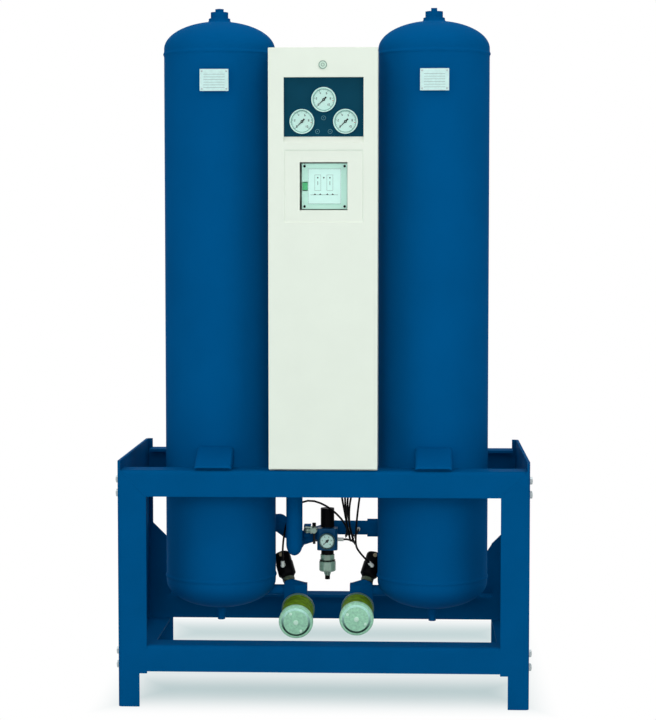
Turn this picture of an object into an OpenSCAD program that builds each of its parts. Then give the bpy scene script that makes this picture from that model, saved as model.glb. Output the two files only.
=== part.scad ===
// Twin-tower desiccant air dryer on a bent-plate frame. Millimetres, Z up, front towards -Y.
// The origin is on the floor, in the middle of the frame.

/* [Frame] */
// Width over the outer faces of the posts
frame_w = 1170; // [1140:1:1260]
// Depth from the front face to the rear face
frame_d = 644; // [624:1:760]
// Top of the beams that carry the vessels and the cabinet
deck_z = 679; // [664:1:720]
// Height of the beams
beam_h = 75; // [64:1:90]
// Thickness of the bent plate
plate_t = 8; // [6:0.5:10]
// Outer radius of the bends
bend_r = 11; // [11:1:14]
// Width of the posts' and beams' flanges
flange_w = 82; // [74:1:88]
// Height of the posts' side flanges above the beams
ear_h = 26; // [15:1:40]
// Width of a foot
foot_w = 60; // [45:1:68]
// Height of a foot, up to its notch
foot_h = 96; // [80:1:98]
// Underside of the front lower beam
front_low_z = 102; // [100:1:120]
// Underside of the rear lower beam
rear_low_z = 136; // [110:1:160]
// Height of the rear lower beam
rear_low_h = 88; // [70:1:100]
// Underside of the lower side rails
rail_low_z = 140; // [125:1:160]
// Width left on a rear post's rear flange above its notch
rear_strip_w = 20; // [14:1:30]
// Height at which a rear post's rear flange starts to narrow
rear_notch_z = 376; // [320:1:420]
// Diameter of the frame bolts
bolt_d = 12; // [10:1:14]

/* [Vessels] */
// Outer diameter of a vessel
vessel_od = 324; // [312:1:330]
// Wall of a vessel
vessel_t = 8; // [5:0.5:10]
// Distance of a vessel's axis from the middle plane
vessel_x = 313; // [308:1:330]
// Distance of the vessels' axes behind the front face
vessel_back = 259; // [254:1:280]
// Lower weld seam of a vessel
low_seam_z = 341; // [335:1:360]
// Length of the shell between its weld seams
shell_l = 1529; // [1480:1:1700]
// Straight rim of a dished head
head_rim = 15; // [10:1:25]
// Depth of the dished part of a head
head_h = 81; // [70:1:95]
// Diameter of the filling collar
collar_d = 63; // [58:1:75]
// Diameter of the drain boss
boss_d = 30; // [28:1:36]
// Width of a support bracket
bracket_w = 104; // [80:1:120]
// Height of a support bracket
bracket_h = 55; // [50:1:80]
// Width of a data plate
tag_w = 82; // [70:1:95]
// Height of a data plate
tag_h = 62; // [50:1:75]
// Middle of the data plates
tag_z = 1785; // [1700:1:1800]

/* [Cabinet] */
// Width of the cabinet
cab_w = 307; // [300:1:314]
// Depth of the cabinet behind its cover
cab_d = 162; // [150:1:170]
// Height of the cabinet
cab_h = 1191; // [1180:1:1260]
// Sheet thickness
sheet_t = 2; // [1.5:0.5:2.5]
// Depth of the cover's folded rim
cover_d = 18; // [16:1:22]
// Distance of the cover's face behind the frame's front face
cover_set = 4; // [4:0.5:8]
// Width of the gauge window
window_w = 224; // [216:1:236]
// Height of the gauge window
window_h = 164; // [158:1:172]
// Middle of the gauge window, below the cabinet's top
window_drop = 166; // [160:1:175]
// Diameter of the lock's head
lock_d = 24; // [22:1:28]
// Middle of the lock, below the cabinet's top
lock_drop = 50; // [46:1:56]
// Middle of the control box, below the cabinet's top
box_drop = 388; // [375:1:400]
// Side of the control box
box_w = 128; // [120:1:132]
// Depth of the control box
box_d = 68; // [55:1:80]
// Clearance of the cut-out around the control box
box_gap = 3; // [2:0.5:4]

/* [Gauges] */
// Bezel diameter of the cabinet gauges
gauge_d = 69; // [62:0.5:72]
// Distance between the lower gauges and the middle
gauge_dx = 61; // [58:1:62]
// Height of the upper gauge over the lower ones
gauge_dz = 61; // [58:1:62]
// Bezel diameter of the regulator's gauge
small_gauge_d = 49; // [46:0.5:54]

/* [Regulator] */
// Width of the regulator's body
reg_w = 60; // [56:1:64]
// Height of the regulator's body
reg_h = 65; // [60:1:70]
// Depth of the regulator's body
reg_d = 50; // [46:1:54]
// Middle of the body above the floor
reg_z = 436; // [430:1:442]
// Diameter of the knob
knob_d = 40.5; // [36:0.5:42]
// Height of the knob
knob_h = 57; // [54:1:66]
// Diameter of the bowl
bowl_d = 50; // [44:0.5:54]
// Height of the bowl
bowl_h = 51; // [45:1:56]

/* [Pipes] */
// Diameter of the upright inlet pipe
riser_d = 48.3; // [42:0.1:52]
// Diameter of the branch pipes
branch_d = 42.4; // [38:0.1:44]
// Distance of the upright pipe left of the middle
riser_x = 94; // [90:1:98]
// Middle of the inlet's branch above the floor
inlet_z = 425; // [420:1:432]
// Height of the rear inlet connection
supply_z = 900; // [820:1:1100]
// Height of the outlet manifold
outlet_z = 1700; // [1660:1:1740]
// Bore of the inlet and outlet sockets
socket_bore = 44.8; // [40:0.1:46]

/* [Exhaust] */
// Diameter of a muffler's end cap
muffler_d = 100; // [90:1:108]
// Length of a muffler
muffler_l = 130; // [110:1:140]
// Distance of a muffler's axis from the middle
muffler_x = 88; // [84:1:92]
// Width of a valve body across its flats
valve_af = 68; // [62:1:74]
// Distance of a valve body's axis from the middle
valve_x = 98; // [96:1:102]
// Diameter of an actuator
actuator_d = 52; // [46:1:54]
// Length of an actuator
actuator_l = 82; // [74:1:84]

/* [Hidden] */
$fn = 64;

seat = 0.3;        // gap between curved faces that meet
slip = 0.3;        // gap around what turns or slides
cut = 1;           // how far a cut runs past its wall
half_w = frame_w / 2;
front_y = -frame_d / 2;
rear_y = frame_d / 2;
ear_z = deck_z + ear_h;

// Frame bolts and the cleats that they clamp
bolt_r = bolt_d / 2;
bolt_hole_r = bolt_r + 0.6;
washer_r = bolt_d;
washer_t = 2;
head_af = 1.58 * bolt_d;
bolt_head_h = 7.5;
nut_h = 6;           // thin nuts
thread_end = 1;    // thread that stands out of a nut
bolt_in = 40;      // bolt line behind the face of the post
bolt_step = 40;
upper_bolt_z = deck_z - 69;
lower_bolt_z = front_low_z + 13;
cleat_h = 78;
cleat_lap = 60;    // lap of a cleat behind its rail
rail_gap = 12;     // least space between a rail's flange and the vessel

// Vessels
vessel_r = vessel_od / 2;
vessel_y = front_y + vessel_back;
high_seam_z = low_seam_z + shell_l;
vessel_top = high_seam_z + head_rim + head_h;
vessel_bottom = low_seam_z - head_rim - head_h;
bead_r = 3;
bead_out = 1.5;    // how far a weld bead stands proud
head_steps = 14;
collar_h = 16;
collar_sink = 12;  // how far collar and boss reach into the head
collar_z = vessel_top + collar_h - 7;
plug_d = 51;
plug_h = 18;
plug_square = 17.5;
plug_square_h = 10;
plug_thread_r = 20;
thread_gap = 0.25;
plug_thread_l = 20;
boss_h = 20;
drain_thread_r = 9;
drain_thread_l = 15;
drain_flange_h = 7;
drain_flange_in = 2;
drain_hex_h = 13;
drain_hex_af = 19;
rail_flange_w = min(flange_w, half_w - vessel_x - vessel_r - rail_gap);
bracket_in = 1;    // bracket behind the beam's face
packer_t = 2;
packer_in = 18;    // packer inside the edges of the base plate
rib_toe = 12;
front_rib_slope = 84;
rear_rib_slope = 80;
screen_t = 6;
ledge_w = 12;
ledge_t = 6;
low_screen_z = 524;
high_screen_z = 1640;
tag_gap = 11;
tag_t = 2;

// Cabinet
cover_y = front_y + cover_set;
rim_y = cover_y + cover_d;
cab_back_y = rim_y + cab_d;
cab_top = deck_z + cab_h;
cover_top = cab_top - 3;
cover_bottom = deck_z + 5;
window_z = cab_top - window_drop;
window_x = 2;
panel_set = 12;    // gauge panel behind the cover's sheet
panel_y = cover_y + sheet_t + panel_set;
panel_h = window_h + 26;
panel_step = 4;    // bend of the panel's sides behind its face
panel_lap = 20;    // panel's sides along the cabinet's walls
box_z = cab_top - box_drop;
lock_z = cab_top - lock_drop;
sill_h = 20;       // slope under the gauge window
recess_w = 226;    // shallow drawn field around the control box
recess_h = 207;
recess_t = 3;
recess_slope = 5;  // drawn border around the field
box_x = 4;
box_y = rim_y + 1;
carrier_h = 80;
lid_t = 14;
screw_in = 7.5;
rocker_w = 15;
rocker_h = 25;
rocker_x = -box_w / 2 + 9;
rocker_out = 4;
rocker_pin_r = 1.5;
lock_barrel_r = 8.5;
cam_l = 38;
cam_w = 12;
cam_t = 3;
keeper_h = 20;
solenoid_in = [92, 50];   // pilot solenoids inside the cabinet's right wall
solenoid_up = 130;

// Gauges: the local axis points to the viewer, with zero at the panel's face
dial_t = 1;
bezel_h = 9;
glass_t = 2;
glass_z = 6.4;
pin_r = 1;
pin_h = 5;
pointer_z = 3.2;
pointer_t = 1;
zero_turn = 135;   // the pointer rests at the lower left
gauge_body_l = 26;
small_body_l = 10;
gauge_rim = 3.5;   // bezel outside the case
stem_r = 7;
stem_l = 3;
top_gauge = [window_x, window_z + 20];
low_gauge_z = window_z + 20 - gauge_dz;
small_gauge_y = -reg_d / 2 - stem_l - small_body_l;

// Regulator, upright on the middle plane
reg_x = 0;
reg_y = vessel_y + 63;
reg_bottom = reg_z - 30;
reg_top = reg_bottom + reg_h;
bonnet_r = knob_d / 2 - 5;
bonnet_h = 34;
spindle_r = 5;
spindle_up = 17;   // spindle above the bonnet
spindle_down = 18;
knob_lift = 3;     // pull of the knob that frees it
knob_gap = 2.4;
collar_r = 19;
collar_ring_h = 15;
bowl_wall = 2.7;
bowl_neck_r = 12;
bowl_neck_h = 12;
bowl_top = reg_bottom - collar_ring_h;
bowl_bottom = bowl_top - bowl_h;
drain_r = 6;
drain_l = 24;
element_r = 14;
element_l = 30;
pilot_z = reg_top - 7;
pilot_r = 9;
pilot_port_r = 6;
pilot_hex_l = 5;
pilot_end_x = -62;
pilot_knob_r = 5.8;
pilot_knob_h = 11;
pilot_knob_up = 10;  // underside of the knob above the valve's axis
pilot_stem_r = 3;
pilot_knob_x = -40;
pilot_face_l = 18;
peg_r = 4;
peg_l = 42;
peg_port_z = reg_z - 4;

// Pipes
branch_r = branch_d / 2;
riser_r = riser_d / 2;
coupling_r = 27;
pipe_wall = 3.2;
riser_y = vessel_y - 27;
header_y = vessel_y + 123;
header_left_z = inlet_z + 51;
header_right_z = inlet_z + 38;
header_end_x = vessel_x - 135;
header_bend_x = 22;
branch_joint_y = header_y - 50;
supply_bend_r = 62;
dome_h = 34;
dome_up = 10;      // top of the domed end above the branch
left_knee_off = [30, 0, 0];
left_bend_off = [28, 0, -20];
joint_l = [60, 8];   // right coupling, from its two ends to the stub
weld_out = 0.6;    // how far a welded knee stands proud of its pipes
socket_r = 30;
socket_l = 46;
socket_floor = 4;
supply_end_y = rear_y - 6;
outlet_y = vessel_y + 83;
outlet_end_x = vessel_x - 163;
check_l = 84;
check_r = 29;
check_hex_l = 18;
check_hex_out = 4;
outlet_socket_y = outlet_y + 190;
tap_w = 20;        // tapping block for the pilot air
tap_out = 38;
tap_up = 14;
gauge_tap_x = [60, 92];
gauge_tap_r = 7;
gauge_tap_l = 6.8;
gauge_fitting_l = 12;
tap_end_y = header_y - branch_r - gauge_tap_l - gauge_fitting_l;

// Exhaust lines, set a little right of the middle
line_shift = 4;
valve_y = vessel_y + 41;
valve_low_z = 214;
valve_high_z = 306;
nozzle_z = 288;
nozzle_r = 15;
nozzle_wall = 3;
neck_off = [[19.5, 1, 6], [15.5, 1, 6]];   // left and right neck's foot: outward, back, up
neck_r = 17;
shoulder_h = 2;    // top of the hexagon that runs on into the neck
lean_out = 18;
lean_back = 25;
bonnet_l = 14;
bonnet_af = 32;
seat_face_r = bonnet_af / 2 + 6;   // flat face cut for the bonnet
muffler_rear_y = valve_y - 48;
muffler_z = [238, 240];    // left and right axis at the rear flange
droop = [7, 3];            // left and right slope towards the front
muffler_plate_t = 6;
cap_t = 18;
sleeve_r = muffler_d / 2 - 4;
sleeve_wall = 6;
outlet_boss_r = 24;
tie_rod_r = 5;
cap_face_r = muffler_d / 2 - 13.5;   // raised face of a cap, with a bevel around it
cap_bevel = 4.5;
cap_step = 4;
cap_screw_turn = [120, 152];   // screws of the left and right cap
cap_screw_in = 7;

// Tube fittings and tubes
tube_r = 3;
tube_sides = 8;
fitting_r = 6.5;
fitting_l = 25;
tube_lead = [16, 12];   // straight tube below a bulkhead and in front of a port
reg_port_l = 18;
bulkhead_y = vessel_y - 127;
bulkhead_z = deck_z - fitting_l;
bulkhead_x = [43, 57, 71, 85, 106];
elbow_r = tube_r + 2.5;
elbow_leg = [6, 36];    // elbow's leg towards the actuator: inward and back
left_port = [-132, vessel_y + 23, 362];   // knees of the elbows in front of the actuators
right_port = [134, vessel_y + 25, 364];
left_end = left_port + [0, 0, 14];
right_end = right_port + [-8.4, -2.6, 9];

// Routes of the air tubes from the cabinet's bulkheads, with y from the plane of the vessels' axes
function placed(route) = [for (p = route) p + [0, vessel_y, 0]];
function lead(k, l) = [for (d = [0, l]) [bulkhead_x[k], bulkhead_y, bulkhead_z - d]];
function tap(k) = [for (d = [tube_lead[1], 0]) [gauge_tap_x[k], tap_end_y - d, header_right_z]];
left_route = concat(lead(0, tube_lead[0]), placed([
    [45.5, -121, 612], [49.5, -105, 581], [56, -75, 537], [62.5, -43, 491], [70, -10, 448],
    [70.5, 2.3, 440.9], [69.2, 16.8, 441.6], [66.7, 28.2, 449.8], [63, 33, 464], [56, 33, 481],
    [46, 33, 497], [35, 33, 510], [23, 33, 521.5], [10, 33, 532], [-4, 33, 541], [-27, 33, 551.5],
    [-51, 33, 556], [-75, 33, 551], [-96, 31, 536], [-112, 28, 511], [-122, 26, 482],
    [-128, 24, 452], [-131, 23, 424], [-132, 23, 400]]), [left_end]);
right_route = concat(lead(4, tube_lead[0]), placed([
    [104, -121, 612], [99.5, -105, 580], [94, -75, 538], [89.5, -45, 496], [87, -17, 457],
    [86.5, -2, 435], [89.5, 9, 419], [97, 14.5, 406], [109, 17.3, 391]]), [right_end]);
regulator_route = concat(lead(2, tube_lead[1]), placed([
    [70, -123, 622], [66.5, -107, 590], [64.5, -78, 547], [69.5, -44, 496], [76.5, -13, 455],
    [80.5, 3, 439], [83.6, 19, 430], [84.2, 31, 427], [83.6, 42, 427], [80, 52, 429],
    [71.5, 60.4, 433.2]]),
    [for (d = [tube_lead[1], 0]) [reg_x + reg_w / 2 + reg_port_l + d, reg_y, reg_z]]);
left_gauge_route = concat(lead(1, tube_lead[1]), placed([
    [57.2, -123, 622], [57.5, -105, 593], [58.5, -73, 548], [61, -40, 501], [61, -15, 468],
    [58.5, 3, 456], [56.3, 21, 452.5], [57, 39, 455.5], [59.3, 56, 461]]), tap(0));
right_gauge_route = concat(lead(3, tube_lead[1]), placed([
    [83.5, -123, 622], [77, -106, 594], [70, -74, 552], [68.5, -40, 505], [71, -13, 472],
    [75, 5, 459], [80.5, 23, 453], [86, 41, 454], [90.5, 57, 460]]), tap(1));

frame_blue = "#00507f";
vessel_blue = "#00568a";
cabinet_white = "#e4ece0";
black = "#1c1c1e";
steel = "#b9bdbb";
brass = "#b08d4a";

// Points of an arc about (cx, cy)
function arc(cx, cy, r, a0, a1, n) =
    [for (i = [0 : n]) [cx + r * cos(a0 + (a1 - a0) * i / n), cy + r * sin(a0 + (a1 - a0) * i / n)]];

// Quarter of an ellipse from the rim (a, 0) to the pole (0, b)
function dish(a, b, n) = [for (i = [0 : n]) [a * cos(90 * i / n), b * sin(90 * i / n)]];

// Rings of a tube along a route, in planes square to the path
function unit(v) = v / norm(v);
function along(p, i) = unit(p[min(i + 1, len(p) - 1)] - p[max(i - 1, 0)]);
function across(d) = unit(cross(d, abs(d.x) < 0.9 ? [1, 0, 0] : [0, 1, 0]));
function carried(n, d) = unit(n - (n * d) * d);
function normals(p, i) = i == 0 ? [across(along(p, 0))]
    : let (before = normals(p, i - 1)) concat(before, [carried(before[i - 1], along(p, i))]);
function ring(p, n, i, r) = let (b = cross(along(p, i), n[i]))
    [for (k = [0 : tube_sides - 1]) p[i] + r * (cos(360 * k / tube_sides) * n[i] + sin(360 * k / tube_sides) * b)];

// Steel bar or pipe between two points
module rod(a, b, r) {
    d = b - a;
    translate(a)
        rotate([0, acos(d.z / norm(d)), atan2(d.y, d.x)])
            cylinder(h = norm(d), r = r);
}

module hex(af, h) {
    cylinder(h = h, d = af / cos(30), $fn = 6);
}

module mirrored(axis) {
    children();
    mirror(axis) children();
}

module tube(route) {
    last = len(route) - 1;
    n = normals(route, last);
    points = [for (i = [0 : last]) each ring(route, n, i, tube_r)];
    sides = [for (i = [0 : last - 1], k = [0 : tube_sides - 1])
        let (a = i * tube_sides, m = (k + 1) % tube_sides)
        [a + k, a + tube_sides + k, a + tube_sides + m, a + m]];
    first_end = [for (k = [0 : tube_sides - 1]) k];
    last_end = [for (k = [tube_sides - 1 : -1 : 0]) last * tube_sides + k];
    color(black) polyhedron(points, concat([first_end], sides, [last_end]), convexity = 4);
}

// Bent angle: outer corner at the origin, legs along +x and +y
module angle_section(a, b) {
    inner = bend_r - plate_t;
    polygon(concat(
        [[a, 0], [a, plate_t]],
        arc(bend_r, bend_r, inner, 270, 180, 4),
        [[plate_t, b], [0, b]],
        arc(bend_r, bend_r, bend_r, 180, 270, 6)));
}

// Beam along X, its web towards -Y and its top flange towards +Y
module beam(length, bottom, height) {
    translate([-length / 2, 0, bottom + height])
        rotate([0, 90, 0])
            linear_extrude(length) angle_section(height, flange_w);
}

// Holes of one corner, along X through a side flange
module bolt_places(level) {
    for (k = [0, 1])
        translate([0, bolt_in, level + k * bolt_step]) rotate([0, 90, 0]) children();
}

module bolt_drills(level) {
    bolt_places(level)
        translate([0, 0, -cut]) cylinder(h = 2 * plate_t + 2 * cut, r = bolt_hole_r);
}

// Post with its outer corner at the origin, front flange along +x and side flange along +y
module front_post() {
    color(frame_blue) difference() {
        linear_extrude(ear_z) angle_section(flange_w, flange_w);
        translate([plate_t, -cut, deck_z]) cube([flange_w, plate_t + cut + bend_r, ear_h + cut]);
        translate([0, plate_t + cut, 0]) rotate([90, 0, 0])
            linear_extrude(plate_t + 2 * cut)
                polygon([[plate_t, deck_z + cut], [plate_t, deck_z], [flange_w, deck_z - beam_h],
                    [flange_w + cut, deck_z - beam_h], [flange_w + cut, deck_z + cut]]);
        translate([foot_w, -cut, -cut]) cube([flange_w, plate_t + 2 * cut, foot_h + cut]);
        translate([-cut, foot_w, -cut]) cube([plate_t + 2 * cut, flange_w, foot_h + cut]);
        bolt_drills(upper_bolt_z);
        bolt_drills(lower_bolt_z);
    }
}

module rear_post() {
    slope_top = rear_notch_z + flange_w - rear_strip_w;
    color(frame_blue) difference() {
        linear_extrude(ear_z) angle_section(flange_w, flange_w);
        translate([0, plate_t + cut, 0]) rotate([90, 0, 0])
            linear_extrude(plate_t + 2 * cut)
                polygon([[flange_w, rear_notch_z], [rear_strip_w, slope_top], [rear_strip_w, ear_z + cut],
                    [flange_w + cut, ear_z + cut], [flange_w + cut, rear_notch_z]]);
        translate([-cut, foot_w, -cut]) cube([plate_t + 2 * cut, flange_w, foot_h + cut]);
    }
}

module front_left_post() {
    translate([-half_w, front_y, 0]) front_post();
}

module front_right_post() {
    translate([half_w, front_y, 0]) mirror([1, 0, 0]) front_post();
}

module rear_left_post() {
    translate([-half_w, rear_y, 0]) mirror([0, 1, 0]) rear_post();
}

module rear_right_post() {
    translate([half_w, rear_y, 0]) mirror([1, 0, 0]) mirror([0, 1, 0]) rear_post();
}

// The web's ends are mitred against the posts
module front_top_beam() {
    top_l = frame_w - 2 * plate_t;
    color(frame_blue) translate([0, front_y, 0]) difference() {
        beam(top_l, deck_z - beam_h, beam_h);
        mirrored([1, 0, 0])
            translate([-half_w, bend_r, 0]) rotate([90, 0, 0])
                linear_extrude(bend_r + cut)
                    polygon([[0, deck_z], [plate_t, deck_z], [flange_w, deck_z - beam_h],
                        [flange_w, deck_z - beam_h - cut], [0, deck_z - beam_h - cut]]);
    }
}

module front_lower_beam() {
    color(frame_blue) translate([0, front_y, 0]) beam(frame_w - 2 * flange_w, front_low_z, beam_h);
}

module rear_top_beam() {
    color(frame_blue) translate([0, rear_y, 0]) mirror([0, 1, 0])
        beam(frame_w - 2 * rear_strip_w, deck_z - beam_h, beam_h);
}

module rear_lower_beam() {
    color(frame_blue) translate([0, rear_y, 0]) mirror([0, 1, 0])
        beam(frame_w - 2 * flange_w, rear_low_z, rear_low_h);
}

// Left rail welded to the rear post, with a foot flange inwards and a cleat bolted behind the front post
module side_rail(low, high, bolt_z) {
    span = frame_d - 2 * flange_w;
    color(frame_blue) difference() {
        union() {
            translate([-half_w, span / 2, low]) rotate([90, 0, 0])
                linear_extrude(span) angle_section(rail_flange_w, high - low);
            translate([-half_w + plate_t, front_y + bend_r + cut, bolt_z + bolt_step / 2 - cleat_h / 2])
                cube([plate_t, flange_w - bend_r - cut + cleat_lap, cleat_h]);
        }
        translate([-half_w, front_y, 0]) bolt_drills(bolt_z);
    }
}

module upper_side_rails() {
    mirrored([1, 0, 0]) side_rail(deck_z - beam_h - plate_t, ear_z, upper_bolt_z);
}

module lower_side_rails() {
    mirrored([1, 0, 0]) side_rail(rail_low_z, rail_low_z + beam_h, lower_bolt_z);
}

// Bolt along +Z: nut and washer below zero, head beyond the two plates
module frame_bolt() {
    grip = 2 * plate_t;
    nut_z = -washer_t - nut_h;
    translate([0, 0, -washer_t]) cylinder(h = washer_t, r = washer_r);
    translate([0, 0, nut_z]) hex(head_af, nut_h);
    translate([0, 0, nut_z - thread_end]) cylinder(h = grip + washer_t + thread_end - nut_z, r = bolt_r);
    translate([0, 0, grip]) cylinder(h = washer_t, r = washer_r);
    translate([0, 0, grip + washer_t]) hex(head_af, bolt_head_h);
}

module frame_bolts() {
    color(steel)
        mirrored([1, 0, 0])
            translate([-half_w, front_y, 0])
                for (level = [upper_bolt_z, lower_bolt_z]) bolt_places(level) frame_bolt();
}

// Half section of a closed vessel, shell and two dished heads, inset by d
module vessel_section(d) {
    top = [for (p = dish(vessel_r - d, head_h - d, head_steps)) [p.x, p.y + high_seam_z + head_rim]];
    bottom = [for (p = dish(vessel_r - d, head_h - d, head_steps)) [p.x, low_seam_z - head_rim - p.y]];
    polygon(concat(top, [for (i = [head_steps : -1 : 0]) bottom[i]]));
}

module weld_bead(z) {
    translate([0, 0, z]) rotate_extrude()
        translate([vessel_r + bead_out - bead_r, 0]) circle(r = bead_r, $fn = 24);
}

// Right vessel about its own axis. The nozzles point to the other vessel, towards -X.
module vessel(header_z, valve_reach) {
    wall_in = vessel_r - 2 * vessel_t;
    color(vessel_blue) difference() {
        union() {
            difference() {
                union() {
                    rotate_extrude() vessel_section(0);
                    weld_bead(low_seam_z);
                    weld_bead(high_seam_z);
                    translate([0, 0, vessel_top - collar_sink])
                        cylinder(h = collar_z - vessel_top + collar_sink, d = collar_d);
                    translate([0, 0, vessel_bottom - boss_h]) cylinder(h = boss_h + collar_sink, d = boss_d);
                    vessel_nozzles(header_z, valve_reach, 0, 0);
                }
                rotate_extrude() vessel_section(vessel_t);
            }
            for (z = [low_screen_z, high_screen_z + screen_t + ledge_t])
                translate([0, 0, z - ledge_t]) difference() {
                    cylinder(h = ledge_t, r = vessel_r - vessel_t + cut);
                    translate([0, 0, -cut])
                        cylinder(h = ledge_t + 2 * cut, r = vessel_r - vessel_t - ledge_w);
                }
        }
        translate([0, 0, vessel_top - 2 * collar_sink]) cylinder(h = 4 * collar_sink + collar_h, r = plug_thread_r);
        translate([0, 0, vessel_bottom - boss_h - cut]) cylinder(h = boss_h + 3 * collar_sink, r = drain_thread_r);
        vessel_nozzles(header_z, valve_reach, pipe_wall, cut);
    }
}

// Header, exhaust and outlet stubs, thinned by a wall for their bores
module vessel_nozzles(header_z, valve_reach, wall, past) {
    inside = -vessel_r / 2;
    header_in = header_y - vessel_y;
    outlet_in = outlet_y - vessel_y;
    rod([inside, header_in, header_z], [-(vessel_x - header_end_x) - past, header_in, header_z], branch_r - wall);
    rod([inside, valve_y - vessel_y, nozzle_z], [-valve_reach - past, valve_y - vessel_y, nozzle_z],
        nozzle_r - (wall > 0 ? nozzle_wall : 0));
    rod([inside, outlet_in, outlet_z], [-(vessel_x - outlet_end_x) - past, outlet_in, outlet_z], branch_r - wall);
}

module left_vessel() {
    translate([-vessel_x, vessel_y, 0]) mirror([1, 0, 0])
        vessel(header_left_z, vessel_x - (valve_x - line_shift) - valve_af / 2);
}

module right_vessel() {
    translate([vessel_x, vessel_y, 0])
        vessel(header_right_z, vessel_x - (valve_x + line_shift) - valve_af / 2);
}

// Two ribs on a base plate over a packer, hollowed to the shell. The beam's face is at zero.
module bracket(axis_y, slope) {
    reach = axis_y - vessel_r / 2 - bracket_in;
    color(vessel_blue) difference() {
        translate([0, bracket_in, deck_z]) {
            translate([-bracket_w / 2 + packer_in, packer_in, 0])
                cube([bracket_w - 2 * packer_in, flange_w - bracket_in - packer_in, packer_t]);
            translate([-bracket_w / 2, 0, packer_t]) cube([bracket_w, reach, plate_t]);
            for (side = [-1, 1])
                translate([side * (bracket_w - plate_t) / 2 + plate_t / 2, 0, packer_t]) rotate([0, -90, 0])
                    linear_extrude(plate_t)
                        polygon([[0, 0], [rib_toe, 0], [bracket_h, slope], [bracket_h, reach], [0, reach]]);
        }
        translate([0, axis_y, deck_z - cut])
            cylinder(h = packer_t + bracket_h + 2 * cut, r = vessel_r + seat);
    }
}

module vessel_brackets() {
    for (side = [-1, 1])
        translate([side * vessel_x, 0, 0]) {
            translate([0, front_y, 0]) bracket(vessel_back, front_rib_slope);
            mirror([0, 1, 0]) translate([0, front_y, 0]) bracket(frame_d - vessel_back, rear_rib_slope);
        }
}

module fill_plug(turn) {
    color(vessel_blue) {
        translate([0, 0, collar_z]) cylinder(h = plug_h, d = plug_d);
        translate([0, 0, collar_z - plug_thread_l]) cylinder(h = plug_thread_l, r = plug_thread_r - thread_gap);
        translate([0, 0, collar_z + plug_h + plug_square_h / 2]) rotate([0, 0, turn])
            cube([plug_square, plug_square, plug_square_h], center = true);
    }
}

module fill_plugs() {
    translate([-vessel_x, vessel_y, 0]) fill_plug(45);
    translate([vessel_x, vessel_y, 0]) fill_plug(0);
}

module drain_plugs() {
    face = vessel_bottom - boss_h;
    color(vessel_blue)
        for (side = [-1, 1])
            translate([side * vessel_x, vessel_y, face]) {
                translate([0, 0, -drain_flange_h]) cylinder(h = drain_flange_h, d = boss_d - 2 * drain_flange_in);
                translate([0, 0, -drain_flange_h - drain_hex_h]) hex(drain_hex_af, drain_hex_h);
                cylinder(h = drain_thread_l, r = drain_thread_r - thread_gap);
            }
}

// Plate on a channel whose two legs stand on the shell
module data_plates() {
    face_y = -vessel_r - tag_gap;
    leg_x = tag_w / 2 - 8;
    color(steel)
        for (side = [-1, 1])
            translate([side * vessel_x, vessel_y, tag_z]) difference() {
                union() {
                    translate([-tag_w / 2, face_y, -tag_h / 2]) cube([tag_w, tag_t, tag_h]);
                    for (leg = [-1, 1])
                        translate([leg * leg_x - tag_t / 2, face_y, -tag_h / 2])
                            cube([tag_t, tag_gap + vessel_r - sqrt(vessel_r * vessel_r - tag_w * tag_w / 4), tag_h]);
                }
                translate([0, 0, -tag_h]) cylinder(h = 2 * tag_h, r = vessel_r + seat);
            }
}

module desiccant_beds() {
    color("#d8d4c4")
        for (side = [-1, 1])
            translate([side * vessel_x, vessel_y, low_screen_z + screen_t])
                cylinder(h = high_screen_z - low_screen_z - screen_t, r = vessel_r - vessel_t - seat);
}

module bed_screens() {
    color(steel)
        for (side = [-1, 1], z = [low_screen_z, high_screen_z])
            translate([side * vessel_x, vessel_y, z])
                cylinder(h = screen_t, r = vessel_r - vessel_t - seat);
}

// Folded body, open to the front, with a keeper for the lock and a carrier rail for the control box
module cabinet_body() {
    inner_w = cab_w - 2 * sheet_t;
    carrier_y = box_y + box_d;
    color(cabinet_white) difference() {
        union() {
            difference() {
                translate([-cab_w / 2, rim_y, deck_z]) cube([cab_w, cab_d, cab_h]);
                translate([-inner_w / 2, rim_y - cut, deck_z + sheet_t])
                    cube([inner_w, cab_d - sheet_t + cut, cab_h - 2 * sheet_t]);
            }
            translate([-inner_w / 2, rim_y, cab_top - keeper_h]) cube([inner_w, sheet_t, keeper_h]);
            translate([-inner_w / 2 - 1, carrier_y, box_z - carrier_h / 2])
                cube([inner_w + 2, sheet_t, carrier_h]);
        }
        for (x = bulkhead_x)
            translate([x, bulkhead_y, deck_z - cut]) cylinder(h = sheet_t + 2 * cut, r = fitting_r - 2);
    }
}

// Lift-off tray with its rim folded back to the body
module front_cover() {
    cover_h = cover_top - cover_bottom;
    hole = box_w + 2 * box_gap;
    color(cabinet_white) difference() {
        union() {
            difference() {
                translate([-cab_w / 2, cover_y, cover_bottom]) cube([cab_w, cover_d - seat, cover_h]);
                translate([-cab_w / 2 + sheet_t, cover_y + sheet_t, cover_bottom + sheet_t])
                    cube([cab_w - 2 * sheet_t, cover_d, cover_h - 2 * sheet_t]);
            }
            window_block(sheet_t);
            drawn_field(sheet_t);
        }
        window_block(0);
        drawn_field(0);
        translate([window_x - hole / 2, cover_y - cut, box_z - hole / 2])
            cube([hole, cover_d, hole]);
        translate([0, cover_y - cut, lock_z]) rotate([-90, 0, 0])
            cylinder(h = sheet_t + 2 * cut, r = lock_barrel_r + slip);
    }
}

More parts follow.
